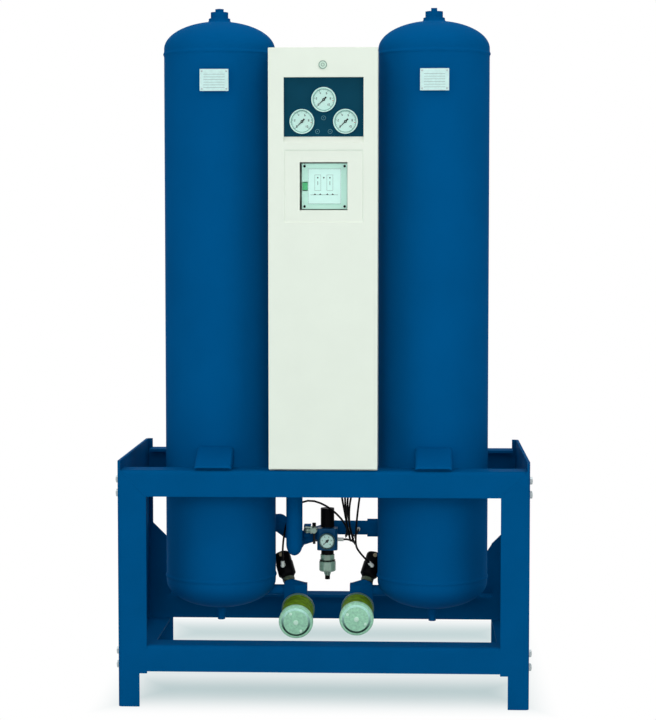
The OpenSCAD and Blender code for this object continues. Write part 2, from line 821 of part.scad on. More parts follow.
// Opening of the gauge window with its sloping sill, grown by the wall for the folded lips
module window_block(wall) {
    low = window_z - window_h / 2 - wall;
    high = window_z + window_h / 2 + wall;
    near = wall > 0 ? cover_y : cover_y - cut;
    far = panel_y - seat + (wall > 0 ? 0 : cut);
    translate([window_x - window_w / 2 - wall, 0, 0]) rotate([90, 0, 90])
        linear_extrude(window_w + 2 * wall)
            polygon([[near, low - sill_h], [far, low], [far, high], [near, high]]);
}

// Shallow field with sloping sides, grown by the wall for the sheet behind it
module drawn_field(wall) {
    w = recess_w / 2 + wall;
    h = recess_h / 2 + wall;
    near = wall > 0 ? cover_y : cover_y - cut;
    far = cover_y + recess_t + wall;
    translate([window_x, 0, box_z]) intersection() {
        translate([0, 0, -h]) linear_extrude(2 * h)
            polygon([[-w, near], [w, near], [w - recess_slope, far], [recess_slope - w, far]]);
        translate([-w, 0, 0]) rotate([90, 0, 90]) linear_extrude(2 * w)
            polygon([[near, -h], [far, recess_slope - h], [far, h - recess_slope], [near, h]]);
    }
}

// Quarter-turn lock: head, barrel and a cam behind the keeper
module cover_lock() {
    cam_y = rim_y + sheet_t + 2 * slip;
    color(steel) translate([0, 0, lock_z]) {
        difference() {
            translate([0, cover_y - 3, 0]) rotate([-90, 0, 0]) cylinder(h = 3 - slip, d = lock_d);
            translate([-lock_d / 4, cover_y - 3 - cut, -1]) cube([lock_d / 2, 1.5 + cut, 2]);
        }
        translate([0, cover_y - 3 + cut, 0]) rotate([-90, 0, 0])
            cylinder(h = cam_y + cam_t - cover_y + 3 - cut, r = lock_barrel_r);
        translate([-cam_w / 2, cam_y, 0]) cube([cam_w, cam_t, cam_l]);
    }
}

// Gauge places on the panel: x and z
gauge_places = [top_gauge, [window_x - gauge_dx, low_gauge_z], [window_x + gauge_dx, low_gauge_z]];

// Dark plate behind the window, its folded sides against the cabinet's walls
module gauge_panel() {
    inner_w = cab_w - 2 * sheet_t;
    fold = rim_y + panel_lap - panel_y;
    color("#123f55") difference() {
        union() {
            translate([-inner_w / 2 + sheet_t, panel_y, window_z - panel_h / 2])
                cube([inner_w - 2 * sheet_t, sheet_t, panel_h]);
            for (side = [0, 1])
                translate([side == 0 ? -inner_w / 2 : inner_w / 2 - sheet_t, panel_y + panel_step, window_z - panel_h / 2])
                    cube([sheet_t, fold, panel_h]);
            for (side = [0, 1])
                translate([side == 0 ? -inner_w / 2 : inner_w / 2 - 2 * sheet_t, panel_y, window_z - panel_h / 2])
                    cube([2 * sheet_t, panel_step + sheet_t, panel_h]);
        }
        for (p = gauge_places)
            translate([p.x, panel_y - cut, p.y]) rotate([-90, 0, 0])
                cylinder(h = sheet_t + 2 * cut, r = gauge_d / 2 - gauge_rim + slip);
    }
}

module at_gauge(k) {
    translate([gauge_places[k].x, panel_y, gauge_places[k].y]) rotate([90, 0, 0]) children();
}

module at_small_gauge() {
    translate([reg_x, reg_y + small_gauge_y, reg_z]) rotate([90, 0, 0]) children();
}

// Case with bezel, recess, seat for the glass and pin for the pointer
module gauge_case(bezel_d, back_l) {
    r = bezel_d / 2;
    difference() {
        union() {
            translate([0, 0, -back_l]) cylinder(h = back_l, r = r - gauge_rim);
            cylinder(h = bezel_h, r = r);
        }
        translate([0, 0, dial_t]) cylinder(h = bezel_h, r = r - gauge_rim);
        translate([0, 0, glass_z]) cylinder(h = bezel_h, r = r - gauge_rim / 2);
    }
    cylinder(h = pin_h, r = pin_r);
}

module gauge_cases() {
    color(steel) {
        for (k = [0 : 2]) at_gauge(k) gauge_case(gauge_d, gauge_body_l);
        at_small_gauge() {
            gauge_case(small_gauge_d, small_body_l);
            translate([0, 0, -small_body_l - stem_l]) cylinder(h = stem_l + cut, r = stem_r);
        }
    }
}

module gauge_dial(bezel_d) {
    translate([0, 0, dial_t]) difference() {
        cylinder(h = dial_t, r = bezel_d / 2 - gauge_rim - slip);
        translate([0, 0, -cut]) cylinder(h = dial_t + 2 * cut, r = pin_r + slip);
    }
}

module gauge_dials() {
    color("#eef0e6") {
        for (k = [0 : 2]) at_gauge(k) gauge_dial(gauge_d);
        at_small_gauge() gauge_dial(small_gauge_d);
    }
}

module gauge_glasses() {
    color("#e8f2f2", 0.3) {
        for (k = [0 : 2]) at_gauge(k) gauge_glass(gauge_d);
        at_small_gauge() gauge_glass(small_gauge_d);
    }
}

module gauge_glass(bezel_d) {
    translate([0, 0, glass_z]) cylinder(h = glass_t, r = bezel_d / 2 - gauge_rim / 2 - slip);
}

// Tapered pointer with a broad tail, turned to its zero at the lower left
module pointer(bezel_d) {
    tip = bezel_d / 2 - gauge_rim - 7;
    tail = bezel_d / 7;
    hub_r = 4;
    color(black) rotate([0, 0, zero_turn]) translate([0, 0, pointer_z]) difference() {
        union() {
            linear_extrude(pointer_t)
                polygon([[-1.4, 0], [-0.5, tip], [0.5, tip], [1.4, 0], [2.4, -tail], [-2.4, -tail]]);
            cylinder(h = pointer_t, r = hub_r);
        }
        translate([0, 0, -cut]) cylinder(h = pointer_t + 2 * cut, r = pin_r + slip);
    }
}

module top_pointer() {
    at_gauge(0) pointer(gauge_d);
}

module left_pointer() {
    at_gauge(1) pointer(gauge_d);
}

module right_pointer() {
    at_gauge(2) pointer(gauge_d);
}

module regulator_pointer() {
    at_small_gauge() pointer(small_gauge_d);
}

// Box about its own front face, with a pocket for the electronics
module control_box() {
    wall = 3;
    color("#b9c7bd") translate([box_x, box_y + lid_t, box_z]) difference() {
        translate([-box_w / 2, 0, -box_w / 2]) cube([box_w, box_d - lid_t, box_w]);
        translate([-box_w / 2 + wall, -cut, -box_w / 2 + wall])
            cube([box_w - 2 * wall, box_d - lid_t - wall + cut, box_w - 2 * wall]);
    }
}

module box_corners() {
    in = box_w / 2 - screw_in;
    for (x = [-in, in], z = [-in, in]) translate([x, 0, z]) rotate([-90, 0, 0]) children();
}

// Lid with a raised middle field, four screw wells and the rocker's slot
module control_cover() {
    field = box_w - 4 * screw_in;
    color("#c4d2c6") translate([box_x, box_y, box_z]) difference() {
        union() {
            translate([-box_w / 2, 2, -box_w / 2]) cube([box_w, lid_t - 2, box_w]);
            translate([-field / 2, 0, -field / 2]) cube([field, lid_t, field]);
        }
        box_corners() translate([0, 0, 2 - cut]) cylinder(h = 3 + cut, r = 3.5 + slip);
        translate([rocker_x - rocker_w / 2 - slip, -cut, -rocker_h / 2 - slip])
            cube([rocker_w + 2 * slip, lid_t + 2 * cut, rocker_h + 2 * slip]);
        translate([rocker_x, lid_t / 2 + 1, 0]) rotate([0, 90, 0])
            cylinder(h = rocker_w + 4, r = rocker_pin_r + slip, center = true);
    }
}

module control_screws() {
    color("#2a2a2a") translate([box_x, box_y, box_z])
        box_corners() difference() {
            translate([0, 0, 2.5]) cylinder(h = 2.5, r = 3.5);
            translate([-3, -0.5, 1.5]) cube([6, 1, 1.6]);
        }
}

// Rocker on a pin through the lid
module power_rocker() {
    color("#2fae55") translate([box_x + rocker_x, box_y, box_z]) {
        translate([0, lid_t / 2 + 1, 0]) rotate([0, 90, 0]) linear_extrude(rocker_w, center = true)
            polygon([[-rocker_h / 2 + 2, 0], [-rocker_h / 2 + 2.2, -lid_t / 2 - rocker_out],
                [0, -lid_t / 2 - 1], [rocker_h / 2 - 2.2, -lid_t / 2 - rocker_out + 2], [rocker_h / 2 - 2, 0]]);
        translate([0, lid_t / 2 + 1, 0]) rotate([0, 90, 0])
            cylinder(h = rocker_w + 3, r = rocker_pin_r, center = true);
    }
}

// Two pilot valves with their coils, on the cabinet's back wall
module pilot_solenoids() {
    base = [34, 26, 60];
    coil = [28, 40, 30];
    wall_y = cab_back_y - sheet_t;
    color(black)
        for (in = solenoid_in)
            translate([cab_w / 2 - in, wall_y, deck_z + solenoid_up]) {
                translate([-base.x / 2, -base.y, 0]) cube(base);
                translate([-coil.x / 2, -base.y - coil.y, 14]) cube(coil);
            }
}

// Body with port faces, and the bonnet that the knob slides on
module regulator_body() {
    chamfer = 6;
    color("#0d4f86") translate([reg_x, reg_y, 0]) difference() {
        union() {
            translate([0, 0, reg_bottom]) linear_extrude(reg_h)
                polygon([[-reg_w / 2, -reg_d / 2 + chamfer], [-reg_w / 2 + chamfer, -reg_d / 2],
                    [reg_w / 2 - chamfer, -reg_d / 2], [reg_w / 2, -reg_d / 2 + chamfer],
                    [reg_w / 2, reg_d / 2 - chamfer], [reg_w / 2 - chamfer, reg_d / 2],
                    [-reg_w / 2 + chamfer, reg_d / 2], [-reg_w / 2, reg_d / 2 - chamfer]]);
            translate([0, 0, reg_top]) cylinder(h = bonnet_h, r = bonnet_r);
        }
        translate([0, 0, reg_top + bonnet_h - spindle_down - 1])
            cylinder(h = spindle_down + 2, r = spindle_r + slip);
    }
}

module regulator_spindle() {
    color(steel) translate([reg_x, reg_y, reg_top + bonnet_h - spindle_down])
        cylinder(h = spindle_down + spindle_up, r = spindle_r);
}

// Ribbed cap over the bonnet, with a bore for the spindle
module regulator_knob() {
    ribs = 24;
    bottom = reg_top + knob_gap;
    skirt = bonnet_h - knob_gap + 1;
    color(black) translate([reg_x, reg_y, bottom]) difference() {
        cylinder(h = knob_h, d = knob_d);
        translate([0, 0, -cut]) cylinder(h = skirt + cut, r = bonnet_r + slip);
        cylinder(h = skirt + spindle_up, r = spindle_r + slip);
        for (k = [0 : ribs - 1])
            rotate([0, 0, k * 360 / ribs]) translate([knob_d / 2 + 0.6, 0, 4])
                cylinder(h = knob_h - 8, r = 1.4, $fn = 16);
    }
}

module bowl_collar() {
    color(black) translate([reg_x, reg_y, bowl_top]) difference() {
        cylinder(h = collar_ring_h, r = collar_r);
        translate([0, 0, -cut]) cylinder(h = collar_ring_h + 2 * cut, r = element_r);
    }
}

// Clear bowl, rounded to a neck that holds the drain
module filter_bowl() {
    r = bowl_d / 2;
    shoulder = 6;
    color("#cfe0d6", 0.5) translate([reg_x, reg_y, bowl_bottom]) rotate_extrude() difference() {
        polygon(concat(
            [[drain_r + slip, -bowl_neck_h], [bowl_neck_r, -bowl_neck_h], [bowl_neck_r, 0]],
            arc(r - shoulder, shoulder, shoulder, 270, 360, 6),
            [[r, bowl_h], [drain_r + slip, bowl_h]]));
        translate([0, bowl_wall]) square([r - bowl_wall, bowl_h - 2 * bowl_wall]);
        translate([0, bowl_h / 2]) square([element_r, bowl_h]);
    }
}

module filter_element() {
    color("#f2f0e6") translate([reg_x, reg_y, bowl_top + collar_ring_h - element_l - 5]) {
        cylinder(h = element_l, r = element_r - 4);
        translate([0, 0, element_l]) cylinder(h = 5, r = element_r - slip);
    }
}

module bowl_drain() {
    color(black) translate([reg_x, reg_y, bowl_bottom - bowl_neck_h]) {
        translate([0, 0, -drain_l / 2]) cylinder(h = drain_l, r = drain_r);
        translate([0, 0, -drain_l / 2]) cylinder(h = drain_l / 2 - slip, r = drain_r + 1.5, $fn = 12);
    }
}

// Shut-off valve between the manifold's tapping block and the regulator, with a leg to the inlet port
module pilot_valve() {
    start_y = header_y - tap_out;
    face_x = reg_x - reg_w / 2;
    end = [pilot_end_x, reg_y, pilot_z];
    middle = [pilot_knob_x, reg_y, pilot_z];
    color(steel) difference() {
        union() {
            rod([pilot_end_x, start_y, pilot_z], end, pilot_r - 1);
            translate(end) sphere(r = pilot_r + 1);
            rod(end, [face_x - 4, reg_y, pilot_z], pilot_r);
            rod([face_x - 6, reg_y, pilot_z], [face_x, reg_y, pilot_z], pilot_port_r);
            translate(end + [11, 0, 0]) rotate([0, 90, 0]) hex(2 * pilot_r + 2, pilot_hex_l);
            rod(middle, middle - [0, pilot_face_l, 0], pilot_r - 1);
            rod(middle, middle + [0, 0, pilot_knob_up], pilot_stem_r + 3);
            rod(middle, middle - [0, 0, peg_l], peg_r);
            rod([pilot_knob_x, reg_y, peg_port_z], [face_x, reg_y, peg_port_z], peg_r - 1);
        }
        translate(middle + [0, 0, pilot_knob_up - 9]) cylinder(h = 12, r = pilot_stem_r + slip);
    }
}

module pilot_valve_knob() {
    color(black) translate([pilot_knob_x, reg_y, pilot_z + pilot_knob_up + slip]) difference() {
        union() {
            cylinder(h = pilot_knob_h, r = pilot_knob_r);
            translate([0, 0, -8]) cylinder(h = 8 + cut, r = pilot_stem_r);
        }
        for (k = [0 : 7])
            rotate([0, 0, k * 45]) translate([pilot_knob_r + 0.6, 0, 2])
                cylinder(h = pilot_knob_h, r = 1.6, $fn = 16);
    }
}

// Frame of the right actuator's axis, or the left one's when mirrored
module on_actuator(side) {
    off = neck_off[side < 0 ? 0 : 1];
    x = line_shift + side * (valve_x + off.x);
    translate([x, valve_y + off.y, valve_high_z + off.z])
        rotate([-lean_back, side * lean_out, 0]) children();
}

// Outlet of the regulator, bulkheads under the cabinet, header taps and actuator ports
module tube_fittings() {
    reg_face = reg_x + reg_w / 2;
    color("#e6e8e2") {
        rod([reg_face, reg_y, reg_z], [reg_face + reg_port_l, reg_y, reg_z], fitting_r - 1);
        for (x = bulkhead_x)
            translate([x, bulkhead_y, deck_z - fitting_l]) {
                cylinder(h = fitting_l, r = fitting_r);
                cylinder(h = fitting_l + sheet_t + 8, r = fitting_r - 2 - slip);
            }
        for (x = gauge_tap_x)
            rod([x, tap_end_y + gauge_fitting_l, header_right_z], [x, tap_end_y, header_right_z], fitting_r - 1);
        actuator_elbow(left_port, left_end, -1);
        actuator_elbow(right_port, right_end, 1);
    }
}

// Elbow from the front of an actuator up to the end of its tube
module actuator_elbow(knee, end, side) {
    difference() {
        union() {
            rod(knee, end, elbow_r);
            translate(knee) sphere(r = elbow_r + weld_out);
            rod(knee, knee + [-side * elbow_leg.x, elbow_leg.y, 0], elbow_r);
        }
        on_actuator(side) translate([0, 0, bonnet_l - cut]) cylinder(h = actuator_l, r = actuator_d / 2 + seat);
    }
}

// Cast elbow body: hexagon with a shoulder that runs up to the bonnet's neck
module valve_body(side) {
    x = line_shift + side * valve_x;
    color(vessel_blue) {
        difference() {
            union() {
                translate([x, valve_y, valve_low_z]) rotate([0, 0, 30]) hex(valve_af, valve_high_z - valve_low_z);
                hull() {
                    translate([x, valve_y, valve_high_z - shoulder_h]) rotate([0, 0, 30])
                        hex(valve_af - shoulder_h / 2, shoulder_h / 2);
                    on_actuator(side) translate([0, 0, -4]) cylinder(h = 4, r = neck_r, $fn = 32);
                }
            }
            on_actuator(side) cylinder(h = 2 * bonnet_l, r = seat_face_r);
        }
        on_muffler(side) translate([0, 0, -outlet_reach()]) cylinder(h = outlet_reach(), r = outlet_boss_r);
    }
}

function outlet_reach() = valve_y - muffler_rear_y;

module valve_bodies() {
    for (side = [-1, 1]) valve_body(side);
}

module valve_bonnets() {
    color(brass)
        for (side = [-1, 1])
            on_actuator(side) {
                cylinder(h = bonnet_l, r = bonnet_af / 2 - 3);
                translate([0, 0, 2]) hex(bonnet_af, bonnet_l - 4);
            }
}

// Piston housing: flanged foot, barrel with a rib, domed cap and indicator
module actuator(side) {
    r = actuator_d / 2;
    color(black) on_actuator(side) translate([0, 0, bonnet_l]) {
        rotate_extrude()
            polygon(concat([[0, 0], [r - 7, 0], [r - 3, 5], [r, 9], [r, actuator_l * 0.55],
                [r - 1.5, actuator_l * 0.58]], [[r - 1.5, actuator_l - 14]],
                [for (a = [0 : 15 : 75]) [r - 12 + 10.5 * cos(a), actuator_l - 14 + 10.5 * sin(a)]],
                [[0, actuator_l - 3.5]]));
        translate([0, 0, actuator_l - 6]) cylinder(h = 6, r = 6.5);
    }
}

module left_actuator() {
    actuator(-1);
}

module right_actuator() {
    actuator(1);
}

// Frame of a muffler: the axis runs forward and a little down from the rear flange
module on_muffler(side) {
    k = side < 0 ? 0 : 1;
    translate([line_shift + side * muffler_x, muffler_rear_y, muffler_z[k]]) rotate([90 + droop[k], 0, 0])
        children();
}

module muffler_sleeves() {
    color("#8c8a35")
        for (side = [-1, 1])
            on_muffler(side) translate([0, 0, muffler_plate_t]) difference() {
                cylinder(h = muffler_l - muffler_plate_t - cap_t, r = sleeve_r);
                translate([0, 0, -cut]) cylinder(h = muffler_l, r = sleeve_r - sleeve_wall);
            }
}

// Rear flange on the valve's boss, and the front cap with its tie rod
module muffler_caps() {
    cap_z = muffler_l - cap_t;
    r = muffler_d / 2;
    color("#c8d0cc")
        for (side = [-1, 1])
            on_muffler(side) {
                cylinder(h = muffler_plate_t, r = r - 1);
                translate([0, 0, muffler_plate_t]) cylinder(h = cap_z - muffler_plate_t, r = tie_rod_r);
                translate([0, 0, cap_z]) rotate_extrude()
                    polygon([[0, 0], [r - 2, 0], [r, 3], [r, cap_t - cap_step - 4], [r - 3, cap_t - cap_step],
                        [cap_face_r + cap_bevel, cap_t - cap_step], [cap_face_r, cap_t], [0, cap_t]]);
                translate([0, 0, muffler_l - cut]) cylinder(h = cut + 2, r = 7);
                for (turn = [0, 180])
                    rotate([0, 0, cap_screw_turn[side < 0 ? 0 : 1] + turn])
                        translate([cap_face_r - cap_screw_in, 0, muffler_l - cut]) cylinder(h = cut + 1.5, r = 4);
            }
}

// Upright pipe with a domed lower end, a branch to the manifold and a bend to the rear socket
module inlet_pipe() {
    low = inlet_z + dome_up;
    top = supply_z - supply_bend_r;
    color(vessel_blue) translate([-riser_x, 0, 0]) difference() {
        union() {
            translate([0, riser_y, low - dome_h]) rotate_extrude()
                polygon(concat([for (p = dish(riser_r, dome_h, 8)) [p.x, dome_h - p.y]],
                    [[0, top - low + dome_h], [riser_r, top - low + dome_h]]));
            rod([0, riser_y, inlet_z], [0, branch_joint_y, inlet_z], branch_r);
            translate([0, riser_y + supply_bend_r, top]) rotate([90, 0, -90])
                rotate_extrude(angle = 90) translate([supply_bend_r, 0]) circle(r = riser_r);
            rod([0, riser_y + supply_bend_r, supply_z], [0, supply_end_y - socket_l, supply_z], riser_r);
            rod([0, supply_end_y - socket_l, supply_z], [0, supply_end_y, supply_z], socket_r);
        }
        rod([0, supply_end_y - socket_l + socket_floor, supply_z], [0, supply_end_y + cut, supply_z], socket_bore / 2);
    }
}

// Header between the vessels: a low tee behind the upright pipe and two arms that rise to the stubs
module inlet_manifold() {
    left_end = [-header_end_x, header_y, header_left_z];
    left_knee = left_end + left_knee_off;
    left_bend = left_knee + left_bend_off;
    tee = [-riser_x, header_y, inlet_z];
    right_bend = [header_bend_x, header_y, header_right_z];
    right_end = [header_end_x, header_y, header_right_z];
    color(vessel_blue) {
        rod(left_end, left_knee, coupling_r);
        translate(left_knee) sphere(r = coupling_r + weld_out);
        rod(left_knee, left_bend, coupling_r);
        translate(left_bend) sphere(r = coupling_r + weld_out);
        rod(left_bend, tee, branch_r);
        translate(tee) sphere(r = riser_r + weld_out);
        rod(tee, [tee.x, branch_joint_y, tee.z], riser_r);
        rod(tee, right_bend, branch_r);
        translate(right_bend) sphere(r = branch_r + weld_out);
        rod(right_bend, right_end, branch_r);
        rod(right_end - [joint_l[0], 0, 0], right_end - [joint_l[1], 0, 0], coupling_r);
        translate([pilot_end_x - tap_w / 2, header_y - tap_out, inlet_z + tap_up])
            cube([tap_w, tap_out, pilot_z + tap_w / 2 - inlet_z - tap_up]);
        for (x = gauge_tap_x)
            rod([x, header_y, header_right_z], [x, header_y - branch_r - gauge_tap_l, header_right_z], gauge_tap_r);
    }
}

// Hexagon-ended check valves on the vessels' outlet stubs
module check_valves() {
    color(brass)
        mirrored([1, 0, 0]) {
            rod([outlet_end_x - check_l, outlet_y, outlet_z], [outlet_end_x, outlet_y, outlet_z], check_r);
            for (x = [outlet_end_x - check_l, outlet_end_x - check_hex_l])
                translate([x, outlet_y, outlet_z]) rotate([0, 90, 0])
                    hex(2 * check_r + check_hex_out, check_hex_l);
        }
}

module outlet_tee() {
    tee_x = outlet_end_x - check_l;
    color(vessel_blue) difference() {
        union() {
            rod([-tee_x, outlet_y, outlet_z], [tee_x, outlet_y, outlet_z], riser_r);
            rod([0, outlet_y, outlet_z], [0, outlet_socket_y - socket_l, outlet_z], riser_r);
            rod([0, outlet_socket_y - socket_l, outlet_z], [0, outlet_socket_y, outlet_z], socket_r);
        }
        rod([0, outlet_socket_y - socket_l + socket_floor, outlet_z], [0, outlet_socket_y + cut, outlet_z], socket_bore / 2);
    }
}

module left_valve_tube() {
    tube(left_route);
}

module right_valve_tube() {
    tube(right_route);
}

module regulator_tube() {
    tube(regulator_route);
}

module left_gauge_tube() {
    tube(left_gauge_route);
}

module right_gauge_tube() {
    tube(right_gauge_route);
}

front_left_post();
front_right_post();
rear_left_post();
rear_right_post();
front_top_beam();
front_lower_beam();
rear_top_beam();
rear_lower_beam();
upper_side_rails();
lower_side_rails();
frame_bolts();
left_vessel();
right_vessel();
vessel_brackets();
fill_plugs();
drain_plugs();
data_plates();
desiccant_beds();
bed_screens();
cabinet_body();
front_cover();
cover_lock();
gauge_panel();
gauge_cases();
gauge_dials();
gauge_glasses();
top_pointer();
left_pointer();
right_pointer();
regulator_pointer();
control_box();
control_cover();
control_screws();
power_rocker();
pilot_solenoids();
regulator_body();
regulator_spindle();
regulator_knob();
bowl_collar();
filter_bowl();
filter_element();
bowl_drain();
pilot_valve();
pilot_valve_knob();
tube_fittings();
valve_bodies();
valve_bonnets();
left_actuator();
right_actuator();
muffler_sleeves();
muffler_caps();
inlet_pipe();
inlet_manifold();
check_valves();
outlet_tee();
left_valve_tube();
right_valve_tube();
regulator_tube();
left_gauge_tube();
right_gauge_tube();
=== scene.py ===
import math

import bmesh
import bpy
import numpy as np
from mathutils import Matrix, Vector


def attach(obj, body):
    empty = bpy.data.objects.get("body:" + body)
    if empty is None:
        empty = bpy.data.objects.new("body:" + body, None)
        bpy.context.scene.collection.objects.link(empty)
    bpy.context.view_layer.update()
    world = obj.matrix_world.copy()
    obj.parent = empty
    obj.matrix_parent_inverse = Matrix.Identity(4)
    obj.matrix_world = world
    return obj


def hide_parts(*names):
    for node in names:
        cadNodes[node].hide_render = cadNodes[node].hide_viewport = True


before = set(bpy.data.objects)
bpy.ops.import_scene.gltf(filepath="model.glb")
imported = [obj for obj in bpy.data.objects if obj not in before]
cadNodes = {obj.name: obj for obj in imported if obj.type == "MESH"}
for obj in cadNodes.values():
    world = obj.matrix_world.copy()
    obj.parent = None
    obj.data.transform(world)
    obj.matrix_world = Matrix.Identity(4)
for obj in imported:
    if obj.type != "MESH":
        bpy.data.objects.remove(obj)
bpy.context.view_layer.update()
scene = bpy.context.scene
scene.view_settings.view_transform = "Standard"
scene.view_settings.look = "None"
print("frame loaded:", len(cadNodes), "nodes")

# camera where the photo was taken from
shot = dict(place=(0.2465, -5.9723, 1.3507), yaw=0.041, pitch=0.063, lens=100.6)
camData = bpy.data.cameras.new("photoCamera")
camData.lens = shot["lens"]
camData.sensor_width = 36.0
camData.dof.use_dof = False
camData.clip_end = 60.0
camera = bpy.data.objects.new("photoCamera", camData)
camera.location = shot["place"]
ahead = Vector((-math.sin(shot["yaw"]) * math.cos(shot["pitch"]),
                math.cos(shot["yaw"]) * math.cos(shot["pitch"]), -math.sin(shot["pitch"])))
camera.rotation_euler = ahead.to_track_quat("-Z", "Y").to_euler()
scene.collection.objects.link(camera)
scene.camera = camera


def smoothRoute(points, count):
    # Catmull-Rom blend of the route points, then equal steps along its length
    p = np.array(points, float)
    q = np.vstack([2 * p[0] - p[1], p, 2 * p[-1] - p[-2]])
    t = np.linspace(0, 1, 24, endpoint=False)[:, None]
    fine = np.vstack([0.5 * (2 * q[i] + (q[i + 1] - q[i - 1]) * t
                             + (2 * q[i - 1] - 5 * q[i] + 4 * q[i + 1] - q[i + 2]) * t ** 2
                             + (3 * q[i] - q[i - 1] - 3 * q[i + 1] + q[i + 2]) * t ** 3)
                      for i in range(1, len(q) - 2)] + [p[-1:]])
    run = np.concatenate([[0], np.cumsum(np.linalg.norm(np.diff(fine, axis=0), axis=1))])
    at = np.linspace(0, run[-1], count)
    return np.stack([np.interp(at, run, fine[:, k]) for k in range(3)], axis=1)


def shaderNode(tree, kind, place, **inputs):
    node = tree.nodes.new(kind)
    node.location = place
    for key, value in inputs.items():
        node.inputs[key.replace("_", " ")].default_value = value
    return node


def chained(tree, kind, sources, operation=None):
    # output of a new node whose first inputs take the sources in order, each a number or a socket
    node = tree.nodes.new(kind)
    if operation:
        node.operation = operation
    for socket, source in zip(node.inputs, sources):
        if isinstance(source, float):
            socket.default_value = source
        else:
            tree.links.new(source, socket)
    return node.outputs[0]


def mixShader(tree, *sources):
    # share of the second shader, first shader, second shader
    return chained(tree, "ShaderNodeMixShader", sources)


def mathNode(tree, operation, *sources):
    return chained(tree, "ShaderNodeMath", sources, operation)


def paint(name, base, rough=0.4, metal=0.0, vary=0.06, grain=30.0, bump=0.0, bumpScale=400.0, coat=0.0,
          spec=0.5, roughDrift=0.12):
    # base colour drifts a little with a slow noise, and a fine noise gives the paint its skin
    mat = bpy.data.materials.new(name)
    mat.use_nodes = True
    tree = mat.node_tree
    shader = tree.nodes["Principled BSDF"]
    shader.inputs["Metallic"].default_value = metal
    shader.inputs["Coat Weight"].default_value = coat
    shader.inputs["Specular IOR Level"].default_value = spec
    coords = shaderNode(tree, "ShaderNodeTexCoord", (-900, 0))
    slow = shaderNode(tree, "ShaderNodeTexNoise", (-700, 150), Scale=grain, Detail=3.0)
    tree.links.new(coords.outputs["Object"], slow.inputs["Vector"])
    ramp = tree.nodes.new("ShaderNodeValToRGB")
    ramp.location = (-480, 150)
    low = [max(0.0, c * (1 - vary)) for c in base]
    high = [min(1.0, c * (1 + vary)) for c in base]
    ramp.color_ramp.elements[0].position = 0.3
    ramp.color_ramp.elements[0].color = (*low, 1)
    ramp.color_ramp.elements[1].position = 0.7
    ramp.color_ramp.elements[1].color = (*high, 1)
    tree.links.new(slow.outputs["Fac"], ramp.inputs["Fac"])
    tree.links.new(ramp.outputs["Color"], shader.inputs["Base Color"])
    spread = shaderNode(tree, "ShaderNodeMapRange", (-480, -120), To_Min=rough * (1 - roughDrift),
                        To_Max=min(1.0, rough * (1 + roughDrift)))
    tree.links.new(slow.outputs["Fac"], spread.inputs["Value"])
    tree.links.new(spread.outputs["Result"], shader.inputs["Roughness"])
    if bump > 0:
        fine = shaderNode(tree, "ShaderNodeTexNoise", (-700, -320), Scale=bumpScale, Detail=2.0)
        tree.links.new(coords.outputs["Object"], fine.inputs["Vector"])
        lift = shaderNode(tree, "ShaderNodeBump", (-300, -320), Strength=bump, Distance=0.001)
        tree.links.new(fine.outputs["Fac"], lift.inputs["Height"])
        tree.links.new(lift.outputs["Normal"], shader.inputs["Normal"])
    return mat


def secondTone(mat, axis, limit, colour, metal, soft=0.0001):
    # below the limit along one axis the material turns to another colour, over the soft length
    tree = mat.node_tree
    shader = tree.nodes["Principled BSDF"]
    first = shader.inputs["Base Color"].links[0].from_socket
    coords = shaderNode(tree, "ShaderNodeTexCoord", (-900, 500))
    split = shaderNode(tree, "ShaderNodeSeparateXYZ", (-700, 500))
    under = shaderNode(tree, "ShaderNodeMapRange", (-500, 500), From_Min=limit + soft, From_Max=limit)
    blend = tree.nodes.new("ShaderNodeMix")
    blend.data_type = "RGBA"
    blend.inputs["B"].default_value = (*colour, 1)
    shine = shaderNode(tree, "ShaderNodeMapRange", (-300, 500),
                       To_Min=shader.inputs["Metallic"].default_value, To_Max=metal)
    tree.links.new(coords.outputs["Object"], split.inputs[0])
    tree.links.new(split.outputs[axis], under.inputs[0])
    tree.links.new(under.outputs[0], blend.inputs["Factor"])
    tree.links.new(first, blend.inputs["A"])
    tree.links.new(blend.outputs["Result"], shader.inputs["Base Color"])
    tree.links.new(under.outputs[0], shine.inputs["Value"])
    tree.links.new(shine.outputs["Result"], shader.inputs["Metallic"])


def clearGlass(name, tint, gloss=0.04, rim=0.5, rough=0.02, cloud=0.0, body=(0, 0, 0)):
    # transparent with a milky share, and a thin reflection that grows at the rim
    mat = bpy.data.materials.new(name)
    mat.use_nodes = True
    tree = mat.node_tree
    tree.nodes.remove(tree.nodes["Principled BSDF"])
    through = shaderNode(tree, "ShaderNodeBsdfTransparent", (-500, 0), Color=(*tint, 1))
    milk = shaderNode(tree, "ShaderNodeBsdfDiffuse", (-500, -200), Color=(*body, 1))
    shine = shaderNode(tree, "ShaderNodeBsdfGlossy", (-300, -80), Roughness=rough)
    facing = shaderNode(tree, "ShaderNodeLayerWeight", (-500, 250), Blend=0.25)
    part = shaderNode(tree, "ShaderNodeMapRange", (-300, 300), To_Min=gloss, To_Max=rim)
    tree.links.new(facing.outputs["Facing"], part.inputs["Value"])
    inside = mixShader(tree, cloud, through.outputs[0], milk.outputs[0])
    surface = mixShader(tree, part.outputs["Result"], inside, shine.outputs[0])
    tree.links.new(surface, tree.nodes["Material Output"].inputs["Surface"])
    return mat


